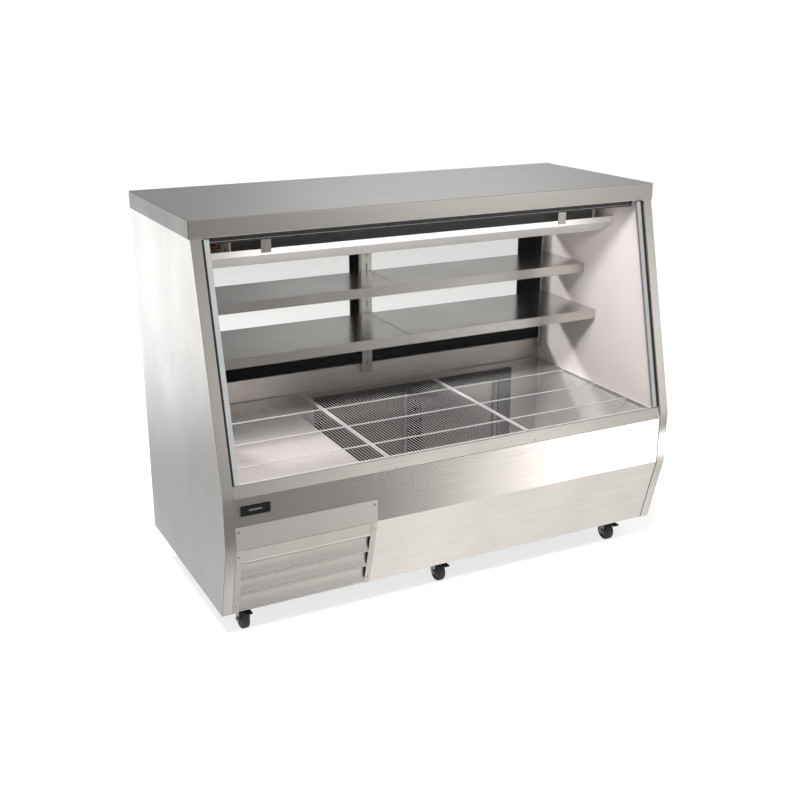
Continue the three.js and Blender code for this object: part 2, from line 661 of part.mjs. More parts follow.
// ---- casters ----
const forkTopZ = plateBottomZ - gap;
const forkLegX = [wheelWidth / 2 + 2, wheelWidth / 2 + 5];
function makeFork() {
  const trail = -casterTrail;
  const leg = [
    [20, 94], [20, 84], [trail + 12, wheelRadius - 6], [trail + 5, wheelRadius - 12],
    [trail - 5, wheelRadius - 12], [trail - 12, wheelRadius - 4], [trail - 14, wheelRadius + 22], [-36, 94],
  ];
  return joined([
    cylinder('z', 31, [93, forkTopZ], [0, 0], 20),
    box([-forkLegX[1], forkLegX[1]], [-14, 20], [90, 94]),
    ...[-1, 1].map((s) => sideProfile(leg, spanX(s, ...forkLegX))),
    cylinder('x', axleRadius, [-24, 24], [trail, wheelRadius], 12),
    cylinder('x', 8, [-26, -19], [trail, wheelRadius], 6),
    cylinder('x', 8, [19, 25], [trail, wheelRadius], 6),
  ]);
}

function makeWheel() {
  const half = wheelWidth / 2;
  const profile = [
    [axleRadius + 0.6, -half], [12, -half], [15, -half + 4], [26, -half + 1],
    [wheelRadius - 3, -half + 1], [wheelRadius, -half + 5],
  ];
  const mirrored = profile.map(([r, x]) => [r, -x]).reverse();
  const closed = [...profile, ...mirrored, profile[0]];
  return new THREE.LatheGeometry(closed.map(([r, x]) => new THREE.Vector2(r, x)), 24)
    .rotateZ(Math.PI / 2);
}

function makePedal() {
  const half = wheelWidth / 2 - 1;
  const top = [[8, 86.5], [-60, 86.5], [-98, 86], [-102, 83]];
  const under = [[-100, 80], [-95, 81], [-58, 81.5], [-36, 83], [-4, 83], [2, 80], [8, 80]];
  return sideProfile([...top, ...under], [-half, half]);
}

const forkShape = makeFork();
const wheelShape = makeWheel();
const pedalShape = makePedal();
const columnNames = ['left', 'middle', 'right'];
const rowNames = ['front', 'rear'];
rowNames.forEach((row, r) => {
  columnNames.forEach((column, c) => {
    const caster = new THREE.Group();
    caster.position.set(casterX[c], casterY[r], 0);
    addPiece(`${row}_${column}_fork`, forkShape, 'zinc', caster);
    addPiece(`${row}_${column}_wheel`, wheelShape, 'blackRubber', caster)
      .position.set(0, -casterTrail, wheelRadius);
    if (row === 'front') addPiece(`${row}_${column}_pedal`, pedalShape, 'blackPlastic', caster);
    assembly.add(caster);
  });
});

export default assembly;
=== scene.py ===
import json
import math

import bmesh
import bpy
from mathutils import Matrix, Vector


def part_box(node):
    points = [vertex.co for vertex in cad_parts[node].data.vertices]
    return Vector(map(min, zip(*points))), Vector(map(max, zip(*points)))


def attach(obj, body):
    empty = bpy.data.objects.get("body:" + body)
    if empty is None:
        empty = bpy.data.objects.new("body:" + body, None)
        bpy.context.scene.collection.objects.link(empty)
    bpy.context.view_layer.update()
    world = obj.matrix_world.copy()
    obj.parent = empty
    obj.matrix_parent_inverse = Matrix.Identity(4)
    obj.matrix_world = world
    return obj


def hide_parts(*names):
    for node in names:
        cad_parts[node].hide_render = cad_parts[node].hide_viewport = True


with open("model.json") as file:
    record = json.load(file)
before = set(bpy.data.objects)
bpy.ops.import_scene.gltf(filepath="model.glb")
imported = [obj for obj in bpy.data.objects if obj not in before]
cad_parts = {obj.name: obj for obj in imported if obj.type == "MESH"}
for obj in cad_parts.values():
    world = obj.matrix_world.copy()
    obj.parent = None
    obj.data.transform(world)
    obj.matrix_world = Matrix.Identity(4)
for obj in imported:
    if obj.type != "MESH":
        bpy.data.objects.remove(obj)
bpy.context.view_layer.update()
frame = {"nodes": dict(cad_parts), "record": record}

mm = 0.001
bodyOf = {node: body for body, nodes in frame["record"]["behaviour"]["bodies"].items() for node in nodes}
print("frame loaded")

# what a person standing off the machine end sees
viewer = {"place": (-1.938, -3.693, 2.038), "turn": -27.25, "dip": 18.65, "lens": 51.07}
cameraData = bpy.data.cameras.new("viewer")
cameraData.lens = viewer["lens"]
cameraData.sensor_width = 36
camera = bpy.data.objects.new("viewer", cameraData)
camera.location = viewer["place"]
camera.rotation_euler = (math.radians(90 - viewer["dip"]), 0, math.radians(viewer["turn"]))
bpy.context.scene.collection.objects.link(camera)
bpy.context.scene.camera = camera


def hexColour(code):
    channels = [int(code[i:i + 2], 16) / 255 for i in (1, 3, 5)]
    linear = [c / 12.92 if c <= 0.04045 else ((c + 0.055) / 1.055) ** 2.4 for c in channels]
    return (*linear, 1.0)


def addNode(tree, kind, links=None, **settings):
    node = tree.nodes.new(kind)
    for name, value in settings.items():
        setattr(node, name, value)
    for name, value in (links or {}).items():
        if isinstance(value, bpy.types.NodeSocket):
            tree.links.new(value, node.inputs[name])
        else:
            node.inputs[name].default_value = value
    return node


def makeFinish(name, look):
    # grain is the size of the finest marks along X, Y and Z in mm; cloud is the size of handling marks
    # and colour drift; wave is how far the sheet is from flat, over spans of waveSize mm
    material = bpy.data.materials.new(name)
    material.use_nodes = True
    tree = material.node_tree
    shader = tree.nodes["Principled BSDF"]
    place = addNode(tree, "ShaderNodeTexCoord").outputs["Object"]
    grainPlace = addNode(tree, "ShaderNodeMapping", {
        "Vector": place, "Scale": [1 / (size * mm) for size in look["grain"]]})
    grain = addNode(tree, "ShaderNodeTexNoise", {
        "Vector": grainPlace.outputs["Vector"], "Scale": 1.0, "Detail": look.get("grainDetail", 3.0),
        "Roughness": 0.6})
    cloud = addNode(tree, "ShaderNodeTexNoise", {
        "Vector": place, "Scale": 1 / (look.get("cloud", 140) * mm), "Detail": 4.0, "Roughness": 0.55})
    drift = addNode(tree, "ShaderNodeMapRange", {
        "Value": cloud.outputs["Fac"], "From Min": 0.32, "From Max": 0.68})
    tone = addNode(tree, "ShaderNodeMix", {
        "Factor": drift.outputs["Result"], "A": hexColour(look["base"]),
        "B": hexColour(look.get("drift", look["base"]))}, data_type="RGBA")
    streak = addNode(tree, "ShaderNodeMapRange", {
        "Value": grain.outputs["Fac"], "From Min": 0.3, "From Max": 0.7,
        "To Min": 0.0, "To Max": look.get("grainTone", 0.35)})
    colour = addNode(tree, "ShaderNodeMix", {
        "Factor": streak.outputs["Result"], "A": tone.outputs["Result"],
        "B": hexColour(look.get("mark", look["base"]))}, data_type="RGBA")
    tree.links.new(colour.outputs["Result"], shader.inputs["Base Color"])
    low, high = look["rough"]
    blend = addNode(tree, "ShaderNodeMath", {
        0: drift.outputs["Result"], 1: grain.outputs["Fac"]}, operation="ADD")
    rough = addNode(tree, "ShaderNodeMapRange", {
        "Value": blend.outputs["Value"], "From Min": 0.3, "From Max": 1.5, "To Min": low, "To Max": high})
    tree.links.new(rough.outputs["Result"], shader.inputs["Roughness"])
    relief = addNode(tree, "ShaderNodeBump", {
        "Height": grain.outputs["Fac"], "Strength": look.get("bump", 0.3),
        "Distance": look.get("depth", 0.05) * mm})
    if "wave" in look:
        sag = addNode(tree, "ShaderNodeTexNoise", {
            "Vector": place, "Scale": 1 / (look.get("waveSize", 420) * mm), "Detail": 0.0})
        swell = addNode(tree, "ShaderNodeBump", {
            "Height": sag.outputs["Fac"], "Strength": 1.0, "Distance": look["wave"] * mm})
        tree.links.new(swell.outputs["Normal"], relief.inputs["Normal"])
    tree.links.new(relief.outputs["Normal"], shader.inputs["Normal"])
    for socket, value in look.get("shader", {}).items():
        shader.inputs[socket].default_value = value
    return material


metal = {"Metallic": 1.0}
sheetLook = {
    "base": "#CECCC9", "drift": "#C8C6C3", "mark": "#B3B1AE", "grainTone": 0.35, "rough": (0.21, 0.26),
    "cloud": 380, "bump": 0.06, "depth": 0.012, "wave": 0.22, "waveSize": 520, "shader": metal,
}
# 304 stainless sheet, number 4 brushed: soft streaks along the case, blurred reflections.
# The real lines are 0.1 mm apart; they are drawn 2.4 mm apart, the finest that a whole view can show.
brushedAlong = makeFinish("brushedStainlessAlong", {**sheetLook, "grain": (240, 2.4, 2.4)})
# the worktop's end flanges, linished across after folding: duller, and darker than the top as painted shade
# on the ends
linishedEndPaintedShade = makeFinish("linishedStainlessEndPaintedShade", {
    **sheetLook, "base": "#A9A7A4", "drift": "#A3A19E", "mark": "#94928F", "rough": (0.34, 0.4),
    "grain": (2.4, 2.4, 120)})
# the same sheet with its grain standing upright, as end panels are cut
brushedUpright = makeFinish("brushedStainlessUpright", {**sheetLook, "grain": (2.4, 2.4, 240)})
# the louvre panel's sheet, tumbled after forming: paler and more satin than the rolled sheet
satinLouvre = makeFinish("tumbledStainless", {
    **sheetLook, "base": "#E1DFDC", "drift": "#DBD9D6", "mark": "#CAC8C5", "rough": (0.4, 0.46),
    "grain": (60, 2.4, 2.4)})
# 304 stainless with a 2B mill finish: greyer and smoother, with wiping marks
millStainless = makeFinish("millStainless", {
    "base": "#D2D0CD", "drift": "#CBC9C6", "mark": "#BBB9B6", "grainTone": 0.25, "rough": (0.18, 0.25),
    "grain": (60, 2.4, 2.4), "cloud": 260, "bump": 0.12, "depth": 0.015, "wave": 0.2, "shader": metal})
# dull stainless tub, its colour darkened as painted shade: the floor and low walls under the racks
tubStainlessShaded = makeFinish("tubStainlessShaded", {
    "base": "#817F7E", "drift": "#7A7877", "mark": "#6E6C6B", "grainTone": 0.3, "rough": (0.46, 0.56),
    "grain": (80, 2.4, 2.4), "cloud": 240, "bump": 0.12, "depth": 0.02, "shader": metal})
# the back wall, the same steel but cleaner
satinBack = makeFinish("satinBackStainless", {
    "base": "#D9D7D4", "drift": "#D2D0CD", "mark": "#C2C0BD", "grainTone": 0.3, "rough": (0.4, 0.5),
    "grain": (80, 2.4, 2.4), "cloud": 300, "bump": 0.12, "depth": 0.02, "shader": metal})
paintLook = {
    "grainTone": 0.3, "rough": (0.28, 0.4), "grain": (2.2, 2.2, 2.2), "grainDetail": 1.0, "cloud": 180,
    "bump": 0.2, "depth": 0.05, "shader": {"IOR": 1.5, "Coat Weight": 0.15},
}
# white pre-painted steel liner: smooth satin paint with a fine orange peel
paintedLiner = makeFinish("paintedLiner", {
    "base": "#F3ECEA", "drift": "#EEE6E4", "mark": "#E5DCDA", **paintLook})
# the cover over the machine wears the liner's paint made greyer: painted shade that keeps the key light from
# washing it out
coverPaintShaded = makeFinish("machineCoverPaintedShade", {
    "base": "#CFC7C6", "drift": "#C8C0BF", "mark": "#BDB4B3", **paintLook})
# white powder coat on folded steel: drip pan and coil ends, a little rougher
whiteEnamel = makeFinish("whitePowderCoat", {
    "base": "#E4E1DF", "drift": "#DBD8D6", "mark": "#CFCBC8", "grainTone": 0.35, "rough": (0.3, 0.45),
    "grain": (1.6, 1.6, 1.6), "cloud": 120, "bump": 0.3, "depth": 0.06, "shader": {"IOR": 1.5}})
# black PVC extrusion: satin, with fine drawing lines along it
blackExtrusion = makeFinish("blackPvcExtrusion", {
    "base": "#070708", "drift": "#0A0A0B", "mark": "#101011", "grainTone": 0.3, "rough": (0.4, 0.55),
    "grain": (60, 1.2, 1.2), "cloud": 80, "bump": 0.25, "depth": 0.04,
    "shader": {"IOR": 1.5, "Specular IOR Level": 0.08}})
# EPDM gasket: matt black rubber with a bloom
gasketRubber = makeFinish("epdmGasket", {
    "base": "#161617", "drift": "#1C1C1D", "mark": "#262627", "grainTone": 0.4, "rough": (0.6, 0.8),
    "grain": (1.5, 1.5, 1.5), "cloud": 40, "bump": 0.4, "depth": 0.08, "shader": {"IOR": 1.52}})
# clear-anodised aluminium extrusion: pale, even, with die lines down its length
anodised = makeFinish("anodisedAluminium", {
    "base": "#BEC1C3", "drift": "#B6B9BB", "mark": "#A9ACAE", "grainTone": 0.35, "rough": (0.4, 0.5),
    "grain": (0.9, 30, 80), "cloud": 90, "bump": 0.25, "depth": 0.03, "shader": {"Metallic": 0.6}})
# e-coated aluminium fin stock: dull grey, with dark gaps between the fin edges
finStock = makeFinish("coatedFinStock", {
    "base": "#8E8B87", "drift": "#7A7774", "mark": "#AAA6A2", "grainTone": 0.5, "rough": (0.4, 0.6),
    "grain": (1.5, 3, 3), "cloud": 60, "bump": 0.4, "depth": 0.05, "shader": {"Metallic": 0.45}})
# drawn copper tube that has aged: warm, with darker patches
agedCopper = makeFinish("agedCopper", {
    "base": "#C98A6E", "drift": "#8F4A38", "mark": "#6B3A2C", "grainTone": 0.35, "rough": (0.24, 0.45),
    "grain": (4, 4, 4), "cloud": 18, "bump": 0.3, "depth": 0.05, "shader": metal})
# epoxy-coated steel wire: light grey, rounded highlights
coatedWire = makeFinish("epoxyCoatedWire", {
    "base": "#DAD9D8", "drift": "#D0CFCE", "mark": "#C2C1C0", "grainTone": 0.3, "rough": (0.28, 0.42),
    "grain": (5, 5, 5), "cloud": 60, "bump": 0.3, "depth": 0.08, "shader": {"IOR": 1.5}})
# bright zinc plate on pressed steel: bluish silver with spangle-like cloudiness
zincPlate = makeFinish("brightZincPlate", {
    "base": "#C3C6C9", "drift": "#A9ACAF", "mark": "#94979A", "grainTone": 0.3, "rough": (0.2, 0.4),
    "grain": (3, 3, 3), "cloud": 14, "bump": 0.25, "depth": 0.05, "shader": metal})
# black tread rubber: matt, dusty where it rolls
treadRubber = makeFinish("treadRubber", {
    "base": "#2A2A2B", "drift": "#343435", "mark": "#454443", "grainTone": 0.4, "rough": (0.6, 0.85),
    "grain": (2, 2, 2), "cloud": 16, "bump": 0.5, "depth": 0.12, "shader": {"IOR": 1.52}})
# dark grey polypropylene wheel core: waxy sheen
wheelCore = makeFinish("polypropyleneCore", {
    "base": "#3A3B3D", "drift": "#424345", "mark": "#4C4D4F", "grainTone": 0.3, "rough": (0.38, 0.52),
    "grain": (1.8, 1.8, 1.8), "cloud": 24, "bump": 0.25, "depth": 0.06, "shader": {"IOR": 1.49}})
# moulded black nylon: pedals, knob and rocker, with a spark-eroded texture
blackNylon = makeFinish("mouldedNylon", {
    "base": "#1B1B1D", "drift": "#222224", "mark": "#2C2C2E", "grainTone": 0.4, "rough": (0.42, 0.58),
    "grain": (0.9, 0.9, 0.9), "cloud": 20, "bump": 0.5, "depth": 0.08, "shader": {"IOR": 1.53}})
# baked black enamel on the pot, the fan plate and the lamp channel: smooth, with a soft gloss
bakedEnamel = makeFinish("bakedEnamel", {
    "base": "#1D1D1F", "drift": "#262628", "mark": "#303032", "grainTone": 0.3, "rough": (0.22, 0.36),
    "grain": (2.5, 2.5, 2.5), "cloud": 50, "bump": 0.3, "depth": 0.08, "shader": {"IOR": 1.55}})
# hot-dip galvanised channel under the cabinet: dull grey spangle
galvanised = makeFinish("galvanisedSteel", {
    "base": "#9EA0A1", "drift": "#8A8C8E", "mark": "#7A7C7E", "grainTone": 0.5, "rough": (0.4, 0.6),
    "grain": (7, 7, 7), "grainDetail": 0.0, "cloud": 60, "bump": 0.3, "depth": 0.05, "shader": metal})
# gloss black acrylic name plate: a sharp, dark mirror
glossBlack = makeFinish("glossBlackPlate", {
    "base": "#070708", "drift": "#0A0A0B", "mark": "#101011", "grainTone": 0.2, "rough": (0.12, 0.22),
    "grain": (2, 2, 2), "cloud": 30, "bump": 0.1, "depth": 0.03, "shader": {"IOR": 1.5, "Coat Weight": 0.4}})
# polished stainless: screw heads and the plate's border, small and bright
polishedSteel = makeFinish("polishedStainless", {
    "base": "#D2D1CF", "drift": "#C2C1BF", "mark": "#ABAAA8", "grainTone": 0.25, "rough": (0.14, 0.26),
    "grain": (1.2, 1.2, 1.2), "cloud": 12, "bump": 0.2, "depth": 0.03, "shader": metal})
# opal polycarbonate over the lamp: milky with a soft glow
opalLens = makeFinish("opalPolycarbonate", {
    "base": "#F3F2EC", "drift": "#EDECE6", "mark": "#E5E4DE", "grainTone": 0.2, "rough": (0.3, 0.4),
    "grain": (30, 2, 2), "cloud": 80, "bump": 0.1, "depth": 0.03,
    "shader": {"IOR": 1.58, "Emission Color": hexColour("#FFFDF4"), "Emission Strength": 0.5}})


def makePane(name, tint, mirror):
    # float glass a few mm thick: seen straight through, with a reflection that grows at a glancing view;
    # mirror is the share reflected straight on
    material = bpy.data.materials.new(name)
    material.use_nodes = True
    tree = material.node_tree
    tree.nodes.remove(tree.nodes["Principled BSDF"])
    place = addNode(tree, "ShaderNodeTexCoord").outputs["Object"]
    haze = addNode(tree, "ShaderNodeTexNoise", {"Vector": place, "Scale": 1 / 0.22, "Detail": 5.0})
    wiped = addNode(tree, "ShaderNodeMapRange", {
        "Value": haze.outputs["Fac"], "From Min": 0.35, "From Max": 0.7, "To Min": 0.015, "To Max": 0.05})
    through = addNode(tree, "ShaderNodeBsdfTransparent", {"Color": hexColour(tint)})
    shine = addNode(tree, "ShaderNodeBsdfGlossy", {
        "Color": hexColour("#FFFFFF"), "Roughness": wiped.outputs["Result"]})
    facing = addNode(tree, "ShaderNodeLayerWeight", {"Blend": 0.5})
    glance = addNode(tree, "ShaderNodeMath", {0: facing.outputs["Facing"], 1: 5.0}, operation="POWER")
    share = addNode(tree, "ShaderNodeMapRange", {"Value": glance.outputs["Value"], "To Min": mirror})
    both = addNode(tree, "ShaderNodeMixShader", {
        0: share.outputs["Result"], 1: through.outputs["BSDF"], 2: shine.outputs["BSDF"]})
    tree.links.new(both.outputs["Shader"], tree.nodes["Material Output"].inputs["Surface"])
    return material


clearPane = makePane("tintedFloatGlass", "#E6E6E5", 0.004)
frontPane = makePane("lowIronFrontGlass", "#FDFDFD", 0.002)
print("finishes made")


def newObject(name, mesh):
    thing = bpy.data.objects.new(name, mesh)
    bpy.context.scene.collection.objects.link(thing)
    return thing


def settle(thing):
    # bakes the modifiers into a plain mesh
    evaluated = thing.evaluated_get(bpy.context.evaluated_depsgraph_get())
    mesh = bpy.data.meshes.new_from_object(evaluated)
    thing.modifiers.clear()
    thing.data = mesh
    return thing


def shade(thing, angle=32):
    mesh = thing.data
    mesh.polygons.foreach_set("use_smooth", [True] * len(mesh.polygons))
    mesh.set_sharp_from_angle(angle=math.radians(angle))


def roundEdges(thing, width, steps, limit=28):
    bevel = thing.modifiers.new("roundEdges", "BEVEL")
    bevel.width = width
    bevel.segments = steps
    bevel.limit_method = "ANGLE"
    bevel.angle_limit = math.radians(limit)
    bevel.use_clamp_overlap = False
    thing.modifiers.new("evenShading", "WEIGHTED_NORMAL").keep_sharp = True
    shade(thing, 60)
    return settle(thing)


def paint(thing, material):
    thing.data.materials.clear()
    thing.data.materials.append(material)


def mount(thing, body, replaced=()):
    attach(thing, body)
    if replaced:
        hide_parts(*replaced)
    return thing


def fromBmesh(name, build):
    mesh = bpy.data.meshes.new(name)
    bmesh.ops.recalc_face_normals(build, faces=build.faces)
    build.to_mesh(mesh)
    build.free()
    return newObject(name, mesh)


def addBlock(build, low, high):
    made = bmesh.ops.create_cube(build, size=1)["verts"]
    low, high = Vector(low), Vector(high)
    for vert in made:
        vert.co = (low + high) / 2 + Vector([vert.co[k] * (high[k] - low[k]) for k in range(3)])
    return made


def addPrism(build, outline, spread):
    # outline: points of one end; spread: the vector to the other end
    near = [build.verts.new(point) for point in outline]
    far = [build.verts.new(Vector(point) + Vector(spread)) for point in outline]
    build.faces.new(near)
    build.faces.new(list(reversed(far)))
    for i, vert in enumerate(near):
        after = (i + 1) % len(near)
        build.faces.new((vert, far[i], far[after], near[after]))


def addTurned(build, profile, centre, axis, sides):
    # profile: (radius, place along the axis) pairs; closes on itself unless it starts and ends at radius 0
    centre, axis = Vector(centre), Vector(axis).normalized()
    across = axis.orthogonal().normalized()
    closed = profile[0][0] > 0
    rings = []
    for radius, along in profile:
        if radius == 0:
            rings.append([build.verts.new(centre + axis * along)])
            continue
        ring = []
        for i in range(sides):
            direction = Matrix.Rotation(2 * math.pi * i / sides, 3, axis) @ across
            ring.append(build.verts.new(centre + axis * along + direction * radius))
        rings.append(ring)
    pairs = list(zip(rings, rings[1:])) + ([(rings[-1], rings[0])] if closed else [])
    for first, second in pairs:
        for i in range(sides):
            after = (i + 1) % sides
            corners = [first[i % len(first)], first[after % len(first)],
                       second[after % len(second)], second[i % len(second)]]
            unique = list(dict.fromkeys(corners))
            build.faces.new(unique)


def refine(node, material, edge, steps=2):
    # the CAD shape with real edge radii, merged and evenly shaded
    build = bmesh.new()
    build.from_mesh(frame["nodes"][node].data)
    bmesh.ops.remove_doubles(build, verts=build.verts, dist=2e-5)
    bmesh.ops.dissolve_limit(build, angle_limit=math.radians(0.6), verts=build.verts, edges=build.edges)
    thing = fromBmesh(node + "_finished", build)
    paint(thing, material)
    roundEdges(thing, edge * mm, steps)
    return mount(thing, bodyOf[node], [node])


def makeBlocks(name, blocks, material, edge, body, replaced=(), steps=2):
    # one or more blocks with rounded edges, as one piece
    build = bmesh.new()
    for low, high in blocks:
        addBlock(build, low, high)
    thing = fromBmesh(name, build)
    paint(thing, material)
    roundEdges(thing, edge * mm, steps)
    return mount(thing, body, replaced)


def recolour(node, material):
    for socket in frame["nodes"][node].material_slots:
        socket.material = material


def newTree(name, inputs):
    tree = bpy.data.node_groups.new(name, "GeometryNodeTree")
    tree.interface.new_socket(name="Geometry", in_out="INPUT", socket_type="NodeSocketGeometry")
    tree.interface.new_socket(name="Geometry", in_out="OUTPUT", socket_type="NodeSocketGeometry")
    for label, kind in {**inputs, "Finish": "Material"}.items():
        tree.interface.new_socket(name=label, in_out="INPUT", socket_type="NodeSocket" + kind)
    return tree, addNode(tree, "NodeGroupInput").outputs


def closeTree(tree, grown, given):
    real = addNode(tree, "GeometryNodeRealizeInstances", {"Geometry": grown})
    dressed = addNode(tree, "GeometryNodeSetMaterial", {
        "Geometry": real.outputs["Geometry"], "Material": given["Finish"]})
    addNode(tree, "NodeGroupOutput", {"Geometry": dressed.outputs["Geometry"]})
    return tree


def growPiece(name, tree, values, seeds, body, replaced=()):
    mesh = bpy.data.meshes.new(name)
    mesh.from_pydata([tuple(seed) for seed in seeds], [], [])
    thing = newObject(name, mesh)
    grow = thing.modifiers.new("grow", "NODES")
    grow.node_group = tree
    for item in tree.interface.items_tree:
        if item.item_type == "SOCKET" and item.in_out == "INPUT" and item.name in values:
            grow[item.identifier] = values[item.name]
    settle(thing)
    shade(thing)
    return mount(thing, body, replaced)


def makeBarTree():
    # round bars from Low to High, copied to every seed point
    tree, given = newTree("roundBars", {"Low": "Vector", "High": "Vector", "Radius": "Float", "Sides": "Int"})
    path = addNode(tree, "GeometryNodeCurvePrimitiveLine", {"Start": given["Low"], "End": given["High"]})
    ring = addNode(tree, "GeometryNodeCurvePrimitiveCircle", {
        "Radius": given["Radius"], "Resolution": given["Sides"]})
    bar = addNode(tree, "GeometryNodeCurveToMesh", {
        "Curve": path.outputs["Curve"], "Profile Curve": ring.outputs["Curve"], "Fill Caps": True})
    copies = addNode(tree, "GeometryNodeInstanceOnPoints", {
        "Points": given["Geometry"], "Instance": bar.outputs["Mesh"]})
    return closeTree(tree, copies.outputs["Instances"], given)


def makeRowTree():
    # thin plates in a row: Count of them, Step apart, starting at each seed point
    tree, given = newTree("plateRow", {"Count": "Int", "Step": "Vector", "Plate": "Vector"})
    row = addNode(tree, "GeometryNodeMeshLine", {
        "Count": given["Count"], "Offset": given["Step"]}, mode="OFFSET")
    plate = addNode(tree, "GeometryNodeMeshCube", {"Size": given["Plate"]})
    plates = addNode(tree, "GeometryNodeInstanceOnPoints", {
        "Points": row.outputs["Mesh"], "Instance": plate.outputs["Mesh"]})
    copies = addNode(tree, "GeometryNodeInstanceOnPoints", {
        "Points": given["Geometry"], "Instance": plates.outputs["Instances"]})
    return closeTree(tree, copies.outputs["Instances"], given)


def makeBendTree():
    # half-circle return bends of a coil, opening away from the coil
    tree, given = newTree("returnBends", {
        "Bend Radius": "Float", "Tube Radius": "Float", "Turn": "Rotation"})
    arc = addNode(tree, "GeometryNodeCurveArc", {
        "Resolution": 17, "Radius": given["Bend Radius"], "Start Angle": -math.pi / 2,
        "Sweep Angle": math.pi})
    ring = addNode(tree, "GeometryNodeCurvePrimitiveCircle", {
        "Radius": given["Tube Radius"], "Resolution": 14})
    tube = addNode(tree, "GeometryNodeCurveToMesh", {
        "Curve": arc.outputs["Curve"], "Profile Curve": ring.outputs["Curve"], "Fill Caps": True})
    copies = addNode(tree, "GeometryNodeInstanceOnPoints", {
        "Points": given["Geometry"], "Instance": tube.outputs["Mesh"], "Rotation": given["Turn"]})
    return closeTree(tree, copies.outputs["Instances"], given)


def makeScrewTree():
    # pan-head screws with a cross recess, standing on every seed point; Sides 6 gives a hex head
    tree, given = newTree("screwHeads", {
        "Head Radius": "Float", "Head Height": "Float", "Sides": "Int", "Recess": "Float",
        "Turn": "Rotation"})
    half = addNode(tree, "ShaderNodeMath", {0: given["Head Radius"], 1: 0.72}, operation="MULTIPLY")
    skirt = addNode(tree, "ShaderNodeMath", {0: given["Head Height"], 1: 0.5}, operation="MULTIPLY")
    base = addNode(tree, "GeometryNodeMeshCylinder", {
        "Vertices": given["Sides"], "Radius": given["Head Radius"], "Depth": skirt.outputs["Value"]})
    crown = addNode(tree, "GeometryNodeMeshCone", {
        "Vertices": given["Sides"], "Radius Bottom": given["Head Radius"],
        "Radius Top": half.outputs["Value"], "Depth": skirt.outputs["Value"]})
    lift = addNode(tree, "ShaderNodeCombineXYZ", {"Z": skirt.outputs["Value"]})
    middle = addNode(tree, "ShaderNodeMath", {0: skirt.outputs["Value"], 1: 0.5}, operation="MULTIPLY")
    seat = addNode(tree, "ShaderNodeCombineXYZ", {"Z": middle.outputs["Value"]})
    raised = addNode(tree, "GeometryNodeTransform", {
        "Geometry": crown.outputs["Mesh"], "Translation": seat.outputs["Vector"]})
    head = addNode(tree, "GeometryNodeMeshBoolean", {"Mesh 2": raised.outputs["Geometry"]}, operation="UNION")
    tree.links.new(base.outputs["Mesh"], head.inputs["Mesh 2"])
    long = addNode(tree, "ShaderNodeCombineXYZ", {
        "X": given["Head Radius"], "Y": given["Recess"], "Z": given["Head Height"]})
    wide = addNode(tree, "ShaderNodeCombineXYZ", {
        "X": given["Recess"], "Y": given["Head Radius"], "Z": given["Head Height"]})
    bars = [addNode(tree, "GeometryNodeMeshCube", {"Size": size.outputs["Vector"]}) for size in (long, wide)]
    cross = addNode(tree, "GeometryNodeMeshBoolean", {"Mesh 2": bars[0].outputs["Mesh"]}, operation="UNION")
    tree.links.new(bars[1].outputs["Mesh"], cross.inputs["Mesh 2"])
    cutter = addNode(tree, "GeometryNodeTransform", {
        "Geometry": cross.outputs["Mesh"], "Translation": lift.outputs["Vector"]})
    cut = addNode(tree, "GeometryNodeMeshBoolean", {
        "Mesh 1": head.outputs["Mesh"], "Mesh 2": cutter.outputs["Geometry"]}, operation="DIFFERENCE")
    copies = addNode(tree, "GeometryNodeInstanceOnPoints", {
        "Points": given["Geometry"], "Instance": cut.outputs["Mesh"], "Rotation": given["Turn"]})
    return closeTree(tree, copies.outputs["Instances"], given)


barTree, rowTree, bendTree, screwTree = makeBarTree(), makeRowTree(), makeBendTree(), makeScrewTree()
print("node trees made")

# the front outline: vertical band, slanted face above its upper bend, toe below its lower bend
worktopLow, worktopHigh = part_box("worktop")
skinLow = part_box("left_end_skin")[0]
outline = {"bendTop": 578 * mm, "bendLow": 374 * mm, "toeFront": -375 * mm}
slant = Vector((0, worktopLow.y - skinLow.y, worktopLow.z - outline["bendTop"])).normalized()
inward = Vector((0, slant.z, -slant.y))      # from the slanted face into the case
toeDown = Vector((0, outline["toeFront"] - skinLow.y, skinLow.z - outline["bendLow"])).normalized()
toeOut = Vector((0, toeDown.z, -toeDown.y))  # out of the toe panel


def slantPoint(x, z, depth):
    # a point depth mm behind the slanted front face
    foot = Vector((x, skinLow.y, outline["bendTop"])) + inward * (depth * mm)
    return foot + slant * ((z - foot.z) / slant.z)


def slantedBar(build, spanX, zSpan, depths):
    low, high = spanX
    corners = [slantPoint(low, zSpan[0], depths[0]), slantPoint(low, zSpan[0], depths[1]),
               slantPoint(low, zSpan[1], depths[1]), slantPoint(low, zSpan[1], depths[0])]
    addPrism(build, corners, (high - low, 0, 0))


# the worktop is a folded tray
tray = {
    "sheet": 2.0, "corner": 3.0, "edge": 0.5, "hem": 5.0, "hemHigh": 4.0, "hemInset": (0.3, -0.6, 0.2),
    "hemEdge": 1.6,
}
build = bmesh.new()
addBlock(build, worktopLow, worktopHigh)
underside = [face for face in build.faces if face.normal.z < -0.5]
bmesh.ops.delete(build, geom=underside, context="FACES_ONLY")
worktop = fromBmesh("worktop_tray", build)
bevel = worktop.modifiers.new("foldRadius", "BEVEL")
bevel.width = tray["corner"] * mm
bevel.segments = 4
thick = worktop.modifiers.new("sheet", "SOLIDIFY")
thick.thickness = tray["sheet"] * mm
thick.offset = -1
settle(worktop)
paint(worktop, brushedAlong)
roundEdges(worktop, tray["edge"] * mm, 2, limit=50)
worktop.data.materials.append(linishedEndPaintedShade)
# painted shade: the end faces take the darker copy of the sheet
for polygon in worktop.data.polygons:
    polygon.material_index = int(abs(polygon.normal.x) > 0.8)
mount(worktop, "cabinet", ["worktop"])
recolour("worktop_core", paintedLiner)

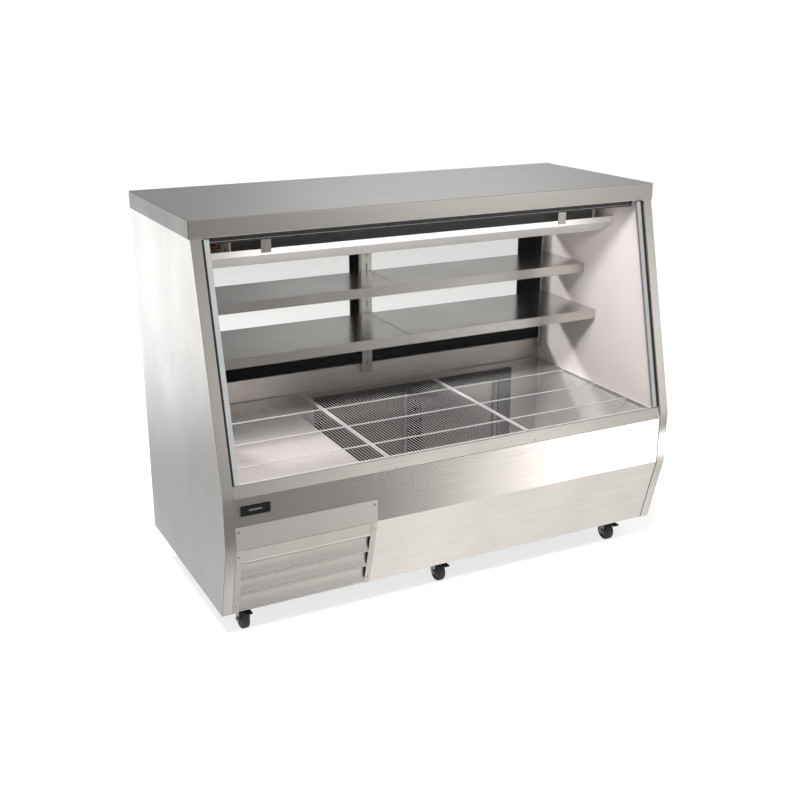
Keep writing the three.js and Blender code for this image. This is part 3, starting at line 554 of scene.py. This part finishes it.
# the hem turned under the worktop's front, a thin bright line
hemLow = worktopLow + Vector(tray["hemInset"]) * mm
hemHigh = (worktopHigh.x - tray["hemInset"][0] * mm, worktopLow.y + tray["hem"] * mm,
           worktopLow.z + tray["hemHigh"] * mm)
makeBlocks("worktop_hem", [(hemLow, hemHigh)], polishedSteel, tray["hemEdge"], "cabinet",
           steps=4)
print("worktop made")

# skins, liners and frames keep their CAD shapes, most with real edge radii
for side in ("left", "right"):
    refine(f"{side}_end_skin", brushedUpright, 0.9, 3)
    recolour(f"{side}_end_liner", paintedLiner)
refine("front_panel", brushedAlong, 0.6)
ledge = refine("front_ledge", brushedAlong, 0.6)
ledgeStretch = 1.0084     # closes it up to the posts
ledge.data.transform(Matrix.Diagonal((ledgeStretch, 1, 1, 1)))
refine("rear_frame", satinBack, 1.0)
# the cover's greyer paint is painted shade
refine("machine_cover", coverPaintShaded, 3.0, 3)
refine("base_frame", galvanised, 1.0)
# the tub's dark colour is painted shade under the racks
recolour("insulated_tub", tubStainlessShaded)
recolour("front_glass", frontPane)

# the channels that hold the front glass, each with its gasket along the post
channel = {
    "inner": 845.5, "outer": 863.6, "lip": 2.4, "gasketIn": 863.9, "gasketOut": 872.2,
    "front": (7.4, 9.6), "back": (16.4, 18.6), "gasket": (3, 19),
}
zSpan = (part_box("left_glass_channel")[0].z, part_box("left_glass_channel")[1].z)


def across(sign, near, far):
    # the span in X between two distances from the middle of the case, on one side of it
    return sorted((sign * near * mm, sign * far * mm))


for side, sign in (("left", -1), ("right", 1)):
    build = bmesh.new()
    flangeSpan = across(sign, channel["inner"], channel["outer"])
    webSpan = across(sign, channel["outer"] - channel["lip"], channel["outer"] - 0.1)
    slantedBar(build, flangeSpan, zSpan, channel["front"])
    slantedBar(build, flangeSpan, zSpan, channel["back"])
    slantedBar(build, webSpan, zSpan, (channel["front"][1], channel["back"][0]))
    trim = fromBmesh(f"{side}_channel_extrusion", build)
    paint(trim, anodised)
    roundEdges(trim, 0.5 * mm, 2)
    mount(trim, "cabinet", [f"{side}_glass_channel"])
    build = bmesh.new()
    slantedBar(build, across(sign, channel["gasketIn"], channel["gasketOut"]), zSpan, channel["gasket"])
    seal = fromBmesh(f"{side}_edge_gasket", build)
    paint(seal, gasketRubber)
    roundEdges(seal, 2.6 * mm, 4)
    mount(seal, "cabinet", [f"{side}_glass_channel"])

# name plate: plain black with a light border and one plain bar
plate = {"border": 2.8, "barIn": 32, "barDown": 19, "barBack": 2.2}
plateLow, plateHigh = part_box("badge_plate")
faceBlock = (plateLow + Vector((1, 0.4, 1)) * mm, plateHigh - Vector((1, 0, 1)) * mm)
makeBlocks("badge_face", [faceBlock], glossBlack, 0.6, "cabinet", ["badge_plate"])
build = bmesh.new()
rim = plate["border"] * mm
for low, high in (
    ((plateLow.x, plateLow.z), (plateHigh.x, plateLow.z + rim)),
    ((plateLow.x, plateHigh.z - rim), (plateHigh.x, plateHigh.z)),
    ((plateLow.x, plateLow.z + rim), (plateLow.x + rim, plateHigh.z - rim)),
    ((plateHigh.x - rim, plateLow.z + rim), (plateHigh.x, plateHigh.z - rim)),
):
    addBlock(build, (low[0], plateLow.y, low[1]), (high[0], plateHigh.y, high[1]))
bmesh.ops.remove_doubles(build, verts=build.verts, dist=1e-6)
border = fromBmesh("badge_border", build)
paint(border, polishedSteel)
roundEdges(border, 0.4 * mm, 2)
mount(border, "cabinet", ["badge_plate"])
barBlock = (plateLow + Vector((plate["barIn"], 0.1, plate["barDown"])) * mm,
            plateHigh - Vector((plate["barIn"], plate["barBack"], plate["barDown"])) * mm)
makeBlocks("badge_bar", [barBlock], polishedSteel, 0.3, "cabinet", ["badge_plate"])

# louvre panel: a flat frame with four curved louvres whose lower lips are rolled
louvre = {
    "flange": 22.0, "sheet": 1.2, "bend": 374, "foot": 105.5, "first": 372, "lips": (312, 243, 177, 106),
    "recess": 12.0, "firstRecess": 1.0, "roll": 6.0, "turn": 0.26, "flat": 6.0, "steps": 10, "endGap": 0.5,
}
grilleLow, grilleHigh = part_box("louver_grille")


def toePoint(x, z, depth):
    # a point depth mm behind the toe panel
    foot = Vector((x, skinLow.y, outline["bendLow"])) - toeOut * (depth * mm)
    return foot + toeDown * ((z * mm - foot.z) / toeDown.z)


build = bmesh.new()
inner = (grilleLow.x + louvre["flange"] * mm, grilleHigh.x - louvre["flange"] * mm)
addBlock(build, (grilleLow.x, skinLow.y, louvre["first"] * mm + 2 * mm),
         (grilleHigh.x, skinLow.y + louvre["sheet"] * mm, grilleHigh.z))
for low, high in ((grilleLow.x, inner[0]), (inner[1], grilleHigh.x)):
    addPrism(build, [toePoint(low, louvre["bend"], 0), toePoint(low, louvre["bend"], louvre["sheet"]),
                     toePoint(low, louvre["foot"], louvre["sheet"]), toePoint(low, louvre["foot"], 0)],
             (high - low, 0, 0))
frameSheet = fromBmesh("louvre_frame", build)
paint(frameSheet, satinLouvre)
roundEdges(frameSheet, 0.4 * mm, 2)
mount(frameSheet, "cabinet", ["louver_grille"])
build = bmesh.new()
starts = (louvre["first"], *louvre["lips"][:-1])
for start, lip in zip(starts, louvre["lips"]):
    edge = lip + louvre["roll"]
    flare = edge + louvre["flat"]
    recess = louvre["firstRecess"] if start == louvre["first"] else louvre["recess"]
    drops = [k / louvre["steps"] for k in range(louvre["steps"] + 1)]
    curve = [(start + (flare - start) * drop, recess * (1 - drop ** 3)) for drop in drops]
    curve.append((edge, 0))
    faceEnd = len(curve)
    # the lip rolls back under itself and catches the light from the floor
    turns = [louvre["turn"] * k for k in range(1, 7)]
    curve += [(edge - louvre["roll"] * math.sin(a), louvre["roll"] * (1 - math.cos(a))) for a in turns]
    end = inner[0] + louvre["endGap"] * mm
    outer = [toePoint(end, z, depth) for z, depth in curve]
    back = [toePoint(end, z, depth + louvre["sheet"]) for z, depth in curve[:faceEnd]]
    back.append(toePoint(end, edge - 1, louvre["roll"] + louvre["sheet"]))
    addPrism(build, outer + back[::-1], (inner[1] - inner[0] - 2 * louvre["endGap"] * mm, 0, 0))
louvres = fromBmesh("louvres", build)
paint(louvres, satinLouvre)
louvres.data.materials.append(brushedAlong)      # the rolls polish the lips as they form them
lipHigh = louvre["roll"] + louvre["flat"]
for polygon in louvres.data.polygons:
    height = polygon.center.z / mm
    polygon.material_index = int(any(0 < height - lip < lipHigh for lip in louvre["lips"]))
shade(louvres, 40)
mount(louvres, "cabinet", ["louver_grille"])

# screws on the ledge and the grille
screw = {
    "radius": 4.2, "height": 2.2, "recess": 1.1, "ledgePlaces": (-0.853, -0.284, 0.293, 0.853),
    "ledgeIn": 2.6, "ledgeUp": 7.5, "ledgeRun": 14, "grilleIn": 11, "bandHeight": 440, "toeDrops": (30, 250),
}
screwValues = {
    "Head Radius": screw["radius"] * mm, "Head Height": screw["height"] * mm, "Sides": 28,
    "Recess": screw["recess"] * mm, "Finish": polishedSteel,
}
ledgeLow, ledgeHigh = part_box("front_ledge")
ledgeOut = Vector((0, -(ledgeHigh.z - ledgeLow.z), screw["ledgeRun"] * mm)).normalized()


def facing(normal):
    return Vector((0, 0, 1)).rotation_difference(Vector(normal)).to_euler()


ledgeSpots = [
    (x, ledgeLow.y + screw["ledgeIn"] * mm, ledgeLow.z + screw["ledgeUp"] * mm) for x in screw["ledgePlaces"]
]
growPiece("ledge_screws", screwTree, {**screwValues, "Turn": facing(ledgeOut)}, ledgeSpots,
          "cabinet")
grilleX = (grilleLow.x + screw["grilleIn"] * mm, grilleHigh.x - screw["grilleIn"] * mm)
bandSpots = [(x, skinLow.y, screw["bandHeight"] * mm) for x in grilleX]
toeSpots = [
    (x, skinLow.y + toeDown.y * drop * mm, outline["bendLow"] + toeDown.z * drop * mm)
    for x in grilleX for drop in screw["toeDrops"]
]
growPiece("grille_band_screws", screwTree, {**screwValues, "Turn": facing((0, -1, 0))}, bandSpots,
          "cabinet")
growPiece("grille_toe_screws", screwTree, {**screwValues, "Turn": facing(toeOut)}, toeSpots,
          "cabinet")
print("front made")

# the back: sliding doors, storage doors, service panel
for node in ("slide_track_frame", "left_slide_door", "right_slide_door", "storage_frame"):
    refine(node, blackExtrusion, 0.9)
for node in ("left_slide_glass", "right_slide_glass"):
    recolour(node, clearPane)
for node in ("left_storage_door", "right_storage_door"):
    refine(node, brushedAlong, 1.5, 3)
refine("rear_service_panel", brushedAlong, 0.5)
refine("thermostat_knob", blackNylon, 0.6)
refine("light_switch", blackNylon, 0.5)

# butt hinges of the storage doors: the pin and one leaf on the door, the other leaf on the back wall
hinge = {
    "pin": 2.6, "long": 56.0, "near": 3.4, "leaf": 25.0, "sheet": 1.0, "gap": 0.3, "heights": (255, 462),
    "screwAt": 18,
}
hingeScrew = {
    "Head Radius": 3.2 * mm, "Head Height": 1.4 * mm, "Sides": 24, "Recess": 0.9 * mm,
    "Finish": polishedSteel, "Turn": facing((0, 1, 0)),
}
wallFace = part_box("rear_frame")[1].y
for side, sign in (("left", 1), ("right", -1)):
    doorNode = f"{side}_storage_door"
    doorLow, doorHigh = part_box(doorNode)
    edge = doorLow.x if sign > 0 else doorHigh.x
    leaves = (("door", bodyOf[doorNode], sign, doorHigh.y), ("wall", "cabinet", -sign, wallFace))
    for label, body, way, face in leaves:
        ends = sorted((edge + way * hinge["near"] * mm, edge + way * hinge["leaf"] * mm))
        build = bmesh.new()
        spots = []
        for height in hinge["heights"]:
            low, high = (height - hinge["long"] / 2) * mm, (height + hinge["long"] / 2) * mm
            addBlock(build, (ends[0], face, low), (ends[1], face + hinge["sheet"] * mm, high))
            spots += [(sum(ends) / 2, face + hinge["sheet"] * mm, (height + drop) * mm)
                      for drop in (-hinge["screwAt"], hinge["screwAt"])]
            if label == "door":
                third = (high - low) / 3
                pin, start, end = hinge["pin"] * mm, hinge["gap"] * mm, third - hinge["gap"] * mm
                for k in range(3):
                    addTurned(build, [(0, start), (pin, start), (pin, end), (0, end)],
                              (edge, face, low + k * third), (0, 0, 1), 24)
        leaf = fromBmesh(f"{side}_hinge_{label}_leaf", build)
        paint(leaf, polishedSteel)
        shade(leaf, 40)
        mount(leaf, body)
        growPiece(f"{side}_hinge_{label}_screws", screwTree, hingeScrew, spots, body)

# dial marks round the thermostat knob and the pointer line on it; screws at the corners of the panel
dial = {
    "inner": 19.5, "outer": 23.5, "half": 0.45, "sunk": 0.2, "proud": 0.3, "marks": 11, "sweep": 270,
    "clearance": 0.3, "screwIn": 10, "pointerHalf": 0.7, "pointer": (3, 14), "pointerSunk": 0.5,
}
knobLow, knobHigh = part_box("thermostat_knob")
knobCentre = (knobLow + knobHigh) / 2
panelFace = knobLow.y - dial["clearance"] * mm
build = bmesh.new()
for k in range(dial["marks"]):
    turn = math.radians(dial["sweep"] * (k / (dial["marks"] - 1) - 0.5))
    tick = addBlock(
        build,
        (knobCentre.x - dial["half"] * mm, panelFace - dial["sunk"] * mm, knobCentre.z + dial["inner"] * mm),
        (knobCentre.x + dial["half"] * mm, panelFace + dial["proud"] * mm, knobCentre.z + dial["outer"] * mm))
    bmesh.ops.rotate(build, verts=tick, cent=knobCentre, matrix=Matrix.Rotation(turn, 3, "Y"))
ticks = fromBmesh("dial_marks", build)
paint(ticks, blackNylon)
mount(ticks, "cabinet")
build = bmesh.new()
addBlock(build, (knobCentre.x - dial["pointerHalf"] * mm, knobHigh.y - dial["pointerSunk"] * mm,
                 knobCentre.z + dial["pointer"][0] * mm),
         (knobCentre.x + dial["pointerHalf"] * mm, knobHigh.y + dial["proud"] * mm,
          knobCentre.z + dial["pointer"][1] * mm))
pointer = fromBmesh("knob_pointer", build)
paint(pointer, whiteEnamel)
mount(pointer, bodyOf["thermostat_knob"])
serviceLow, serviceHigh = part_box("rear_service_panel")
growPiece("service_screws", screwTree, {**hingeScrew, "Head Radius": 4 * mm, "Head Height": 2 * mm}, [
    (x, panelFace, z)
    for x in (serviceLow.x + dial["screwIn"] * mm, serviceHigh.x - dial["screwIn"] * mm)
    for z in (serviceLow.z + dial["screwIn"] * mm, serviceHigh.z - dial["screwIn"] * mm)
], "cabinet")

# the display: shelves, uprights, drip pan, lamp, coil
clip = {"lap": 1, "wide": 5, "half": 0.8, "drop": 30, "edge": 0.5}
for tier in ("upper", "lower"):
    for side in ("left", "right"):
        refine(f"{tier}_{side}_shelf", millStainless, 0.6)
    # the clip that ties the two shelves of a tier together at the front
    shelfLow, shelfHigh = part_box(f"{tier}_left_shelf")
    clipBlock = (
        (shelfHigh.x - clip["lap"] * mm, shelfLow.y - clip["half"] * mm, shelfHigh.z - clip["drop"] * mm),
        (shelfHigh.x + clip["wide"] * mm, shelfLow.y + clip["half"] * mm, shelfHigh.z + clip["lap"] * mm))
    makeBlocks(f"{tier}_shelf_clip", [clipBlock], polishedSteel, clip["edge"], "cabinet")
for side in ("left", "centre", "right"):
    refine(f"{side}_upright", millStainless, 0.6)
pan = refine("drip_pan", whiteEnamel, 0.6)
pan.data.materials.append(millStainless)      # the hangers that carry it are bare steel
hangerFoot = 1297 * mm
for polygon in pan.data.polygons:
    polygon.material_index = int(polygon.center.z > hangerFoot)
# the lamp under the worktop: a black channel whose lips hide the opal lens
lamp = {"lip": 4, "lipHigh": 5, "roof": 6, "lensIn": (6, 5, 1), "edge": 1.4}
lampLow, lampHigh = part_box("light_bar")
lipTop = lampLow.z + lamp["lipHigh"] * mm
roof = lampLow.z + lamp["roof"] * mm
channelBlocks = [
    ((lampLow.x, lampLow.y, roof), lampHigh),
    (lampLow, (lampHigh.x, lampLow.y + lamp["lip"] * mm, lipTop)),
    ((lampLow.x, lampHigh.y - lamp["lip"] * mm, lampLow.z), (lampHigh.x, lampHigh.y, lipTop)),
]
inX, inY, inZ = [gap * mm for gap in lamp["lensIn"]]
lensBlocks = [((lampLow.x + inX, lampLow.y + inY, lampLow.z + inZ),
               (lampHigh.x - inX, lampHigh.y - inY, roof))]
for name, blocks, finish in (("channel", channelBlocks, bakedEnamel), ("lens", lensBlocks, opalLens)):
    makeBlocks(f"lamp_{name}", blocks, finish, lamp["edge"], "cabinet", ["light_bar"], steps=3)

coil = {
    "pitch": 4.0, "fin": 0.35, "tube": 6.2, "bend": 28.0, "end": 2.0, "overhang": 6.0, "span": (-710, 800),
    "rows": 6, "firstRow": -10, "heights": (1284, 1323),
}
coilLow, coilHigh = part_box("evaporator_coil")
finX = [end * mm for end in coil["span"]]
finY = (coilLow.y + coil["overhang"] * mm, coilHigh.y - coil["overhang"] * mm)
finZ = (coilLow.z + 3 * mm, coilHigh.z - 3 * mm)
count = int((finX[1] - finX[0]) / (coil["pitch"] * mm)) - 1
growPiece("coil_fins", rowTree, {
    "Count": count, "Step": (coil["pitch"] * mm, 0.0, 0.0),
    "Plate": (coil["fin"] * mm, finY[1] - finY[0], finZ[1] - finZ[0]), "Finish": finStock,
}, [(finX[0] + coil["pitch"] * mm, sum(finY) / 2, sum(finZ) / 2)],
    "cabinet", ["evaporator_coil"])
tubeY = [(coil["firstRow"] + 2 * coil["bend"] * k) * mm for k in range(coil["rows"])]
tubeZ = [height * mm for height in coil["heights"]]
growPiece("coil_tubes", barTree, {
    "Low": (finX[0] - 3 * mm, 0.0, 0.0), "High": (finX[1] + 3 * mm, 0.0, 0.0), "Radius": coil["tube"] * mm,
    "Sides": 12, "Finish": agedCopper,
}, [(0, y, z) for z in tubeZ for y in tubeY], "cabinet", ["evaporator_coil"])
for label, x, turn, starts in (
    ("right", finX[1] + 2.5 * mm, 0.0, tubeY[0:5:2]), ("left", finX[0] - 2.5 * mm, math.pi, tubeY[1:4:2]),
):
    spots = [(x, y + coil["bend"] * mm, z) for y in starts for z in tubeZ]
    growPiece(f"coil_bends_{label}", bendTree, {
        "Bend Radius": coil["bend"] * mm, "Tube Radius": coil["tube"] * mm, "Turn": (0.0, 0.0, turn),
        "Finish": agedCopper}, spots, "cabinet", ["evaporator_coil"])
endBlocks = [((x - coil["end"] * mm, coilLow.y, coilLow.z), (x + coil["end"] * mm, coilHigh.y, coilHigh.z))
             for x in finX]
makeBlocks("coil_end_plates", endBlocks, whiteEnamel, 0.6, "cabinet", ["evaporator_coil"])
print("display made")

# wire deck racks: crosswise wires lie on three rods inside a rim
rack = {"pitch": 12.7, "wire": 0.8, "rod": 2.4, "rim": 3.0, "weld": 0.2, "rodPlaces": (-258, -48, 172)}
for side in ("left", "centre", "right"):
    node = f"{side}_deck_rack"
    low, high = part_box(node)
    rim = rack["rim"] * mm
    fill = int((high.x - low.x - 2 * rim) / (rack["pitch"] * mm))
    first = (low.x + high.x - fill * rack["pitch"] * mm) / 2
    wireZ = high.z - rack["wire"] * mm
    rodZ = wireZ - (rack["wire"] + rack["rod"] - rack["weld"]) * mm
    rimZ = high.z - rim - 2 * rack["weld"] * mm
    alongX = ((low.x, 0.0, 0.0), (high.x, 0.0, 0.0))
    alongY = ((0.0, low.y, 0.0), (0.0, high.y, 0.0))
    wireSpots = [(first + k * rack["pitch"] * mm, 0, wireZ) for k in range(fill + 1)]
    groups = {
        "wires": (alongY, rack["wire"], 8, wireSpots),
        "rods": (alongX, rack["rod"], 12, [(0, y * mm, rodZ) for y in rack["rodPlaces"]]),
        "side_rims": (alongY, rack["rim"], 14, [(low.x + rim, 0, rimZ), (high.x - rim, 0, rimZ)]),
        "end_rims": (alongX, rack["rim"], 14, [(0, low.y + rim, rimZ), (0, high.y - rim, rimZ)]),
    }
    for part, (ends, radius, sides, spots) in groups.items():
        growPiece(f"{side}_rack_{part}", barTree, {
            "Low": ends[0], "High": ends[1], "Radius": radius * mm, "Sides": sides, "Finish": coatedWire},
            spots, bodyOf[node], [node])
print("racks made")

# the machine compartment
refine("compressor", bakedEnamel, 1.5, 3)
refine("fan_motor", bakedEnamel, 0.8)
refine("fan_blade", zincPlate, 0.6)
condenserLow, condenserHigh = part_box("condenser")
condenserMiddle = (condenserLow + condenserHigh) / 2
finGap = 3.2 * mm
growPiece("condenser_fins", rowTree, {
    "Count": int((condenserHigh.x - condenserLow.x) / finGap), "Step": (finGap, 0.0, 0.0),
    "Plate": (0.3 * mm, condenserHigh.y - condenserLow.y, condenserHigh.z - condenserLow.z),
    "Finish": finStock,
}, [(condenserLow.x + finGap / 2, condenserMiddle.y, condenserMiddle.z)],
    "cabinet", ["condenser"])

# casters: tyre and core turned from half outlines of (radius, place along the axle) in mm
tyreShape = [
    (27, -13.6), (31, -13.9), (34.5, -13.2), (36.6, -11.4), (37.7, -8), (38, -4), (38, 4), (37.7, 8),
    (36.6, 11.4), (34.5, 13.2), (31, 13.9), (27, 13.6),
]
coreShape = [
    (5.6, -15), (11, -15), (12, -14.2), (12.5, -11.5), (24.5, -10.5), (26, -12.5), (27.2, -13.4),
    (27.2, 13.4), (26, 12.5), (24.5, 10.5), (12.5, 11.5), (12, 14.2), (11, 15), (5.6, 15),
]
raceShape = [
    (14, -0.2), (24, -0.2), (29.5, -0.8), (31.5, -1.8), (31.5, -2.6), (29, -3.4), (29, -4), (30.5, -4.8),
    (30.5, -5.8), (27, -6.6), (14, -6.6),
]
caster = {"trail": 31.0, "nut": 9.0, "nutHigh": 6.0, "nutIn": 10.0}
for row in ("front", "rear"):
    for column in ("left", "middle", "right"):
        wheelNode = f"{row}_{column}_wheel"
        forkNode = f"{row}_{column}_fork"
        low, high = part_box(wheelNode)
        axle = (low + high) / 2
        for label, shape, material in (("tyre", tyreShape, treadRubber), ("core", coreShape, wheelCore)):
            build = bmesh.new()
            addTurned(build, [(r * mm, a * mm) for r, a in shape], axle, (1, 0, 0), 56)
            thing = fromBmesh(f"{row}_{column}_{label}", build)
            paint(thing, material)
            shade(thing, 40)
            mount(thing, bodyOf[wheelNode], [wheelNode])
        refine(forkNode, zincPlate, 0.9, 3)
        forkLow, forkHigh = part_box(forkNode)
        pivot = Vector(((forkLow.x + forkHigh.x) / 2, forkHigh.y - caster["trail"] * mm, forkHigh.z))
        build = bmesh.new()
        addTurned(build, [(r * mm, a * mm) for r, a in raceShape], pivot, (0, 0, 1), 48)
        thing = fromBmesh(f"{row}_{column}_raceway", build)
        paint(thing, zincPlate)
        shade(thing, 40)
        mount(thing, bodyOf[forkNode])
        growPiece(f"{row}_{column}_axle_nuts", screwTree, {
            "Head Radius": caster["nut"] * mm, "Head Height": caster["nutHigh"] * mm, "Sides": 6,
            "Recess": 0.01 * mm, "Turn": facing((-1, 0, 0)), "Finish": zincPlate,
        }, [(forkLow.x + caster["nutIn"] * mm, axle.y, axle.z)], bodyOf[forkNode])
        if row == "front":
            refine(f"{row}_{column}_pedal", blackNylon, 1.6, 3)
print("casters made")

build = bmesh.new()
bmesh.ops.create_grid(build, x_segments=1, y_segments=1, size=30)
floorPlane = fromBmesh("floor", build)
paint(floorPlane, makeFinish("paleFloor", {
    "base": "#A8A8A8", "drift": "#A6A6A6", "mark": "#A3A3A3", "grainTone": 0.2, "rough": (0.75, 0.9),
    "grain": (20, 20, 20), "cloud": 900, "bump": 0.05, "depth": 0.05,
    "shader": {"IOR": 1.45, "Emission Color": hexColour("#FFFFFF"), "Emission Strength": 0.74}}))
floorPlane.visible_glossy = False   # metal reflects the studio panels below instead


def softBox(name, place, aim, size, power):
    lampData = bpy.data.lights.new(name, "AREA")
    lampData.shape = "RECTANGLE"
    lampData.size, lampData.size_y = size
    lampData.energy = power
    lamp = bpy.data.objects.new(name, lampData)
    lamp.location = place
    lamp.rotation_euler = (Vector(aim) - Vector(place)).to_track_quat("-Z", "Y").to_euler()
    lamp.visible_camera = False
    lamp.visible_glossy = False
    bpy.context.scene.collection.objects.link(lamp)


softBox("keyLight", (-1.2, -2.6, 4.2), (0.4, 0, 0.8), (0.8, 0.8), 200)
softBox("rearLight", (-1.9, 3.5, 3.6), (0.7, 0.1, 1.0), (0.5, 0.5), 380)
softBox("caseLamp", (0, -0.21, 1.33), (0, 0.05, 0.6), (1.4, 0.05), 1.8)

# The studio around the case: the lens sees white, matt surfaces get even white light, and metal and glass
# reflect a grey room with soft panels. Each panel: its direction, half width and fading edge in degrees.
world = bpy.data.worlds.new("paleStudio")
bpy.context.scene.world = world
world.use_nodes = True
worldTree = world.node_tree
panels = [
    {"aim": (0.46, 0.83, 0.29), "half": 4, "edge": 9, "glow": 0.52},         # behind, over the worktop
    {"aim": (0.610, -0.683, -0.402), "half": 4, "edge": 6, "glow": 4.0},     # low at the front right
    {"aim": (0.527, -0.828, -0.191), "half": 3, "edge": 6, "glow": 0.35},    # a little higher, faint
    {"aim": (0.498, -0.864, 0.070), "half": 6, "edge": 8, "glow": 1.5},      # level at the front right
    {"aim": (-0.257, 0.948, -0.185), "half": 5, "edge": 6, "glow": 1.5},     # behind the machine end
    {"aim": (0.46, -0.46, -0.76), "half": 8, "edge": 10, "glow": 1.2},       # pale floor under the toe
    {"aim": (-0.2, 0.8, -0.56), "half": 8, "edge": 12, "glow": 0.5},         # pale floor behind
    {"aim": (0.85, 0.35, -0.4), "half": 20, "edge": 25, "glow": 0.5},        # pale floor past the right end
]
direction = addNode(worldTree, "ShaderNodeTexCoord").outputs["Generated"]
parts = addNode(worldTree, "ShaderNodeSeparateXYZ", {"Vector": direction}).outputs
room = addNode(worldTree, "ShaderNodeMapRange", {
    "Value": parts["Z"], "From Min": -0.1, "From Max": 0.9, "To Min": 0.26, "To Max": 0.6}).outputs["Result"]
for panel in panels:
    along = addNode(worldTree, "ShaderNodeVectorMath", {
        0: direction, 1: Vector(panel["aim"]).normalized()}, operation="DOT_PRODUCT")
    soft = addNode(worldTree, "ShaderNodeMapRange", {
        "Value": along.outputs["Value"], "From Min": math.cos(math.radians(panel["half"] + panel["edge"])),
        "From Max": math.cos(math.radians(panel["half"])), "To Max": panel["glow"]},
        interpolation_type="SMOOTHSTEP")
    room = addNode(worldTree, "ShaderNodeMath", {
        0: room, 1: soft.outputs["Result"]}, operation="ADD").outputs["Value"]
ray = addNode(worldTree, "ShaderNodeLightPath").outputs
matt = addNode(worldTree, "ShaderNodeMix", {"Factor": ray["Is Glossy Ray"], "A": 0.72, "B": room})
seen = addNode(worldTree, "ShaderNodeMix", {
    "Factor": ray["Is Camera Ray"], "A": matt.outputs["Result"], "B": 1.0})
worldTree.links.new(seen.outputs["Result"], worldTree.nodes["Background"].inputs["Strength"])
ahead = addNode(worldTree, "ShaderNodeMapRange", {"Value": parts["Y"], "From Min": -0.2, "From Max": 0.3})
white = hexColour("#FFFFFF")
warmth = addNode(worldTree, "ShaderNodeMix", {       # the room is a little warm in front
    "Factor": ahead.outputs["Result"], "A": hexColour("#FFFBF7"), "B": white}, data_type="RGBA")
tint = addNode(worldTree, "ShaderNodeMix", {
    "Factor": ray["Is Camera Ray"], "A": warmth.outputs["Result"], "B": white}, data_type="RGBA")
worldTree.links.new(tint.outputs["Result"], worldTree.nodes["Background"].inputs["Color"])
bpy.context.scene.view_settings.view_transform = "Standard"
print("stage made")
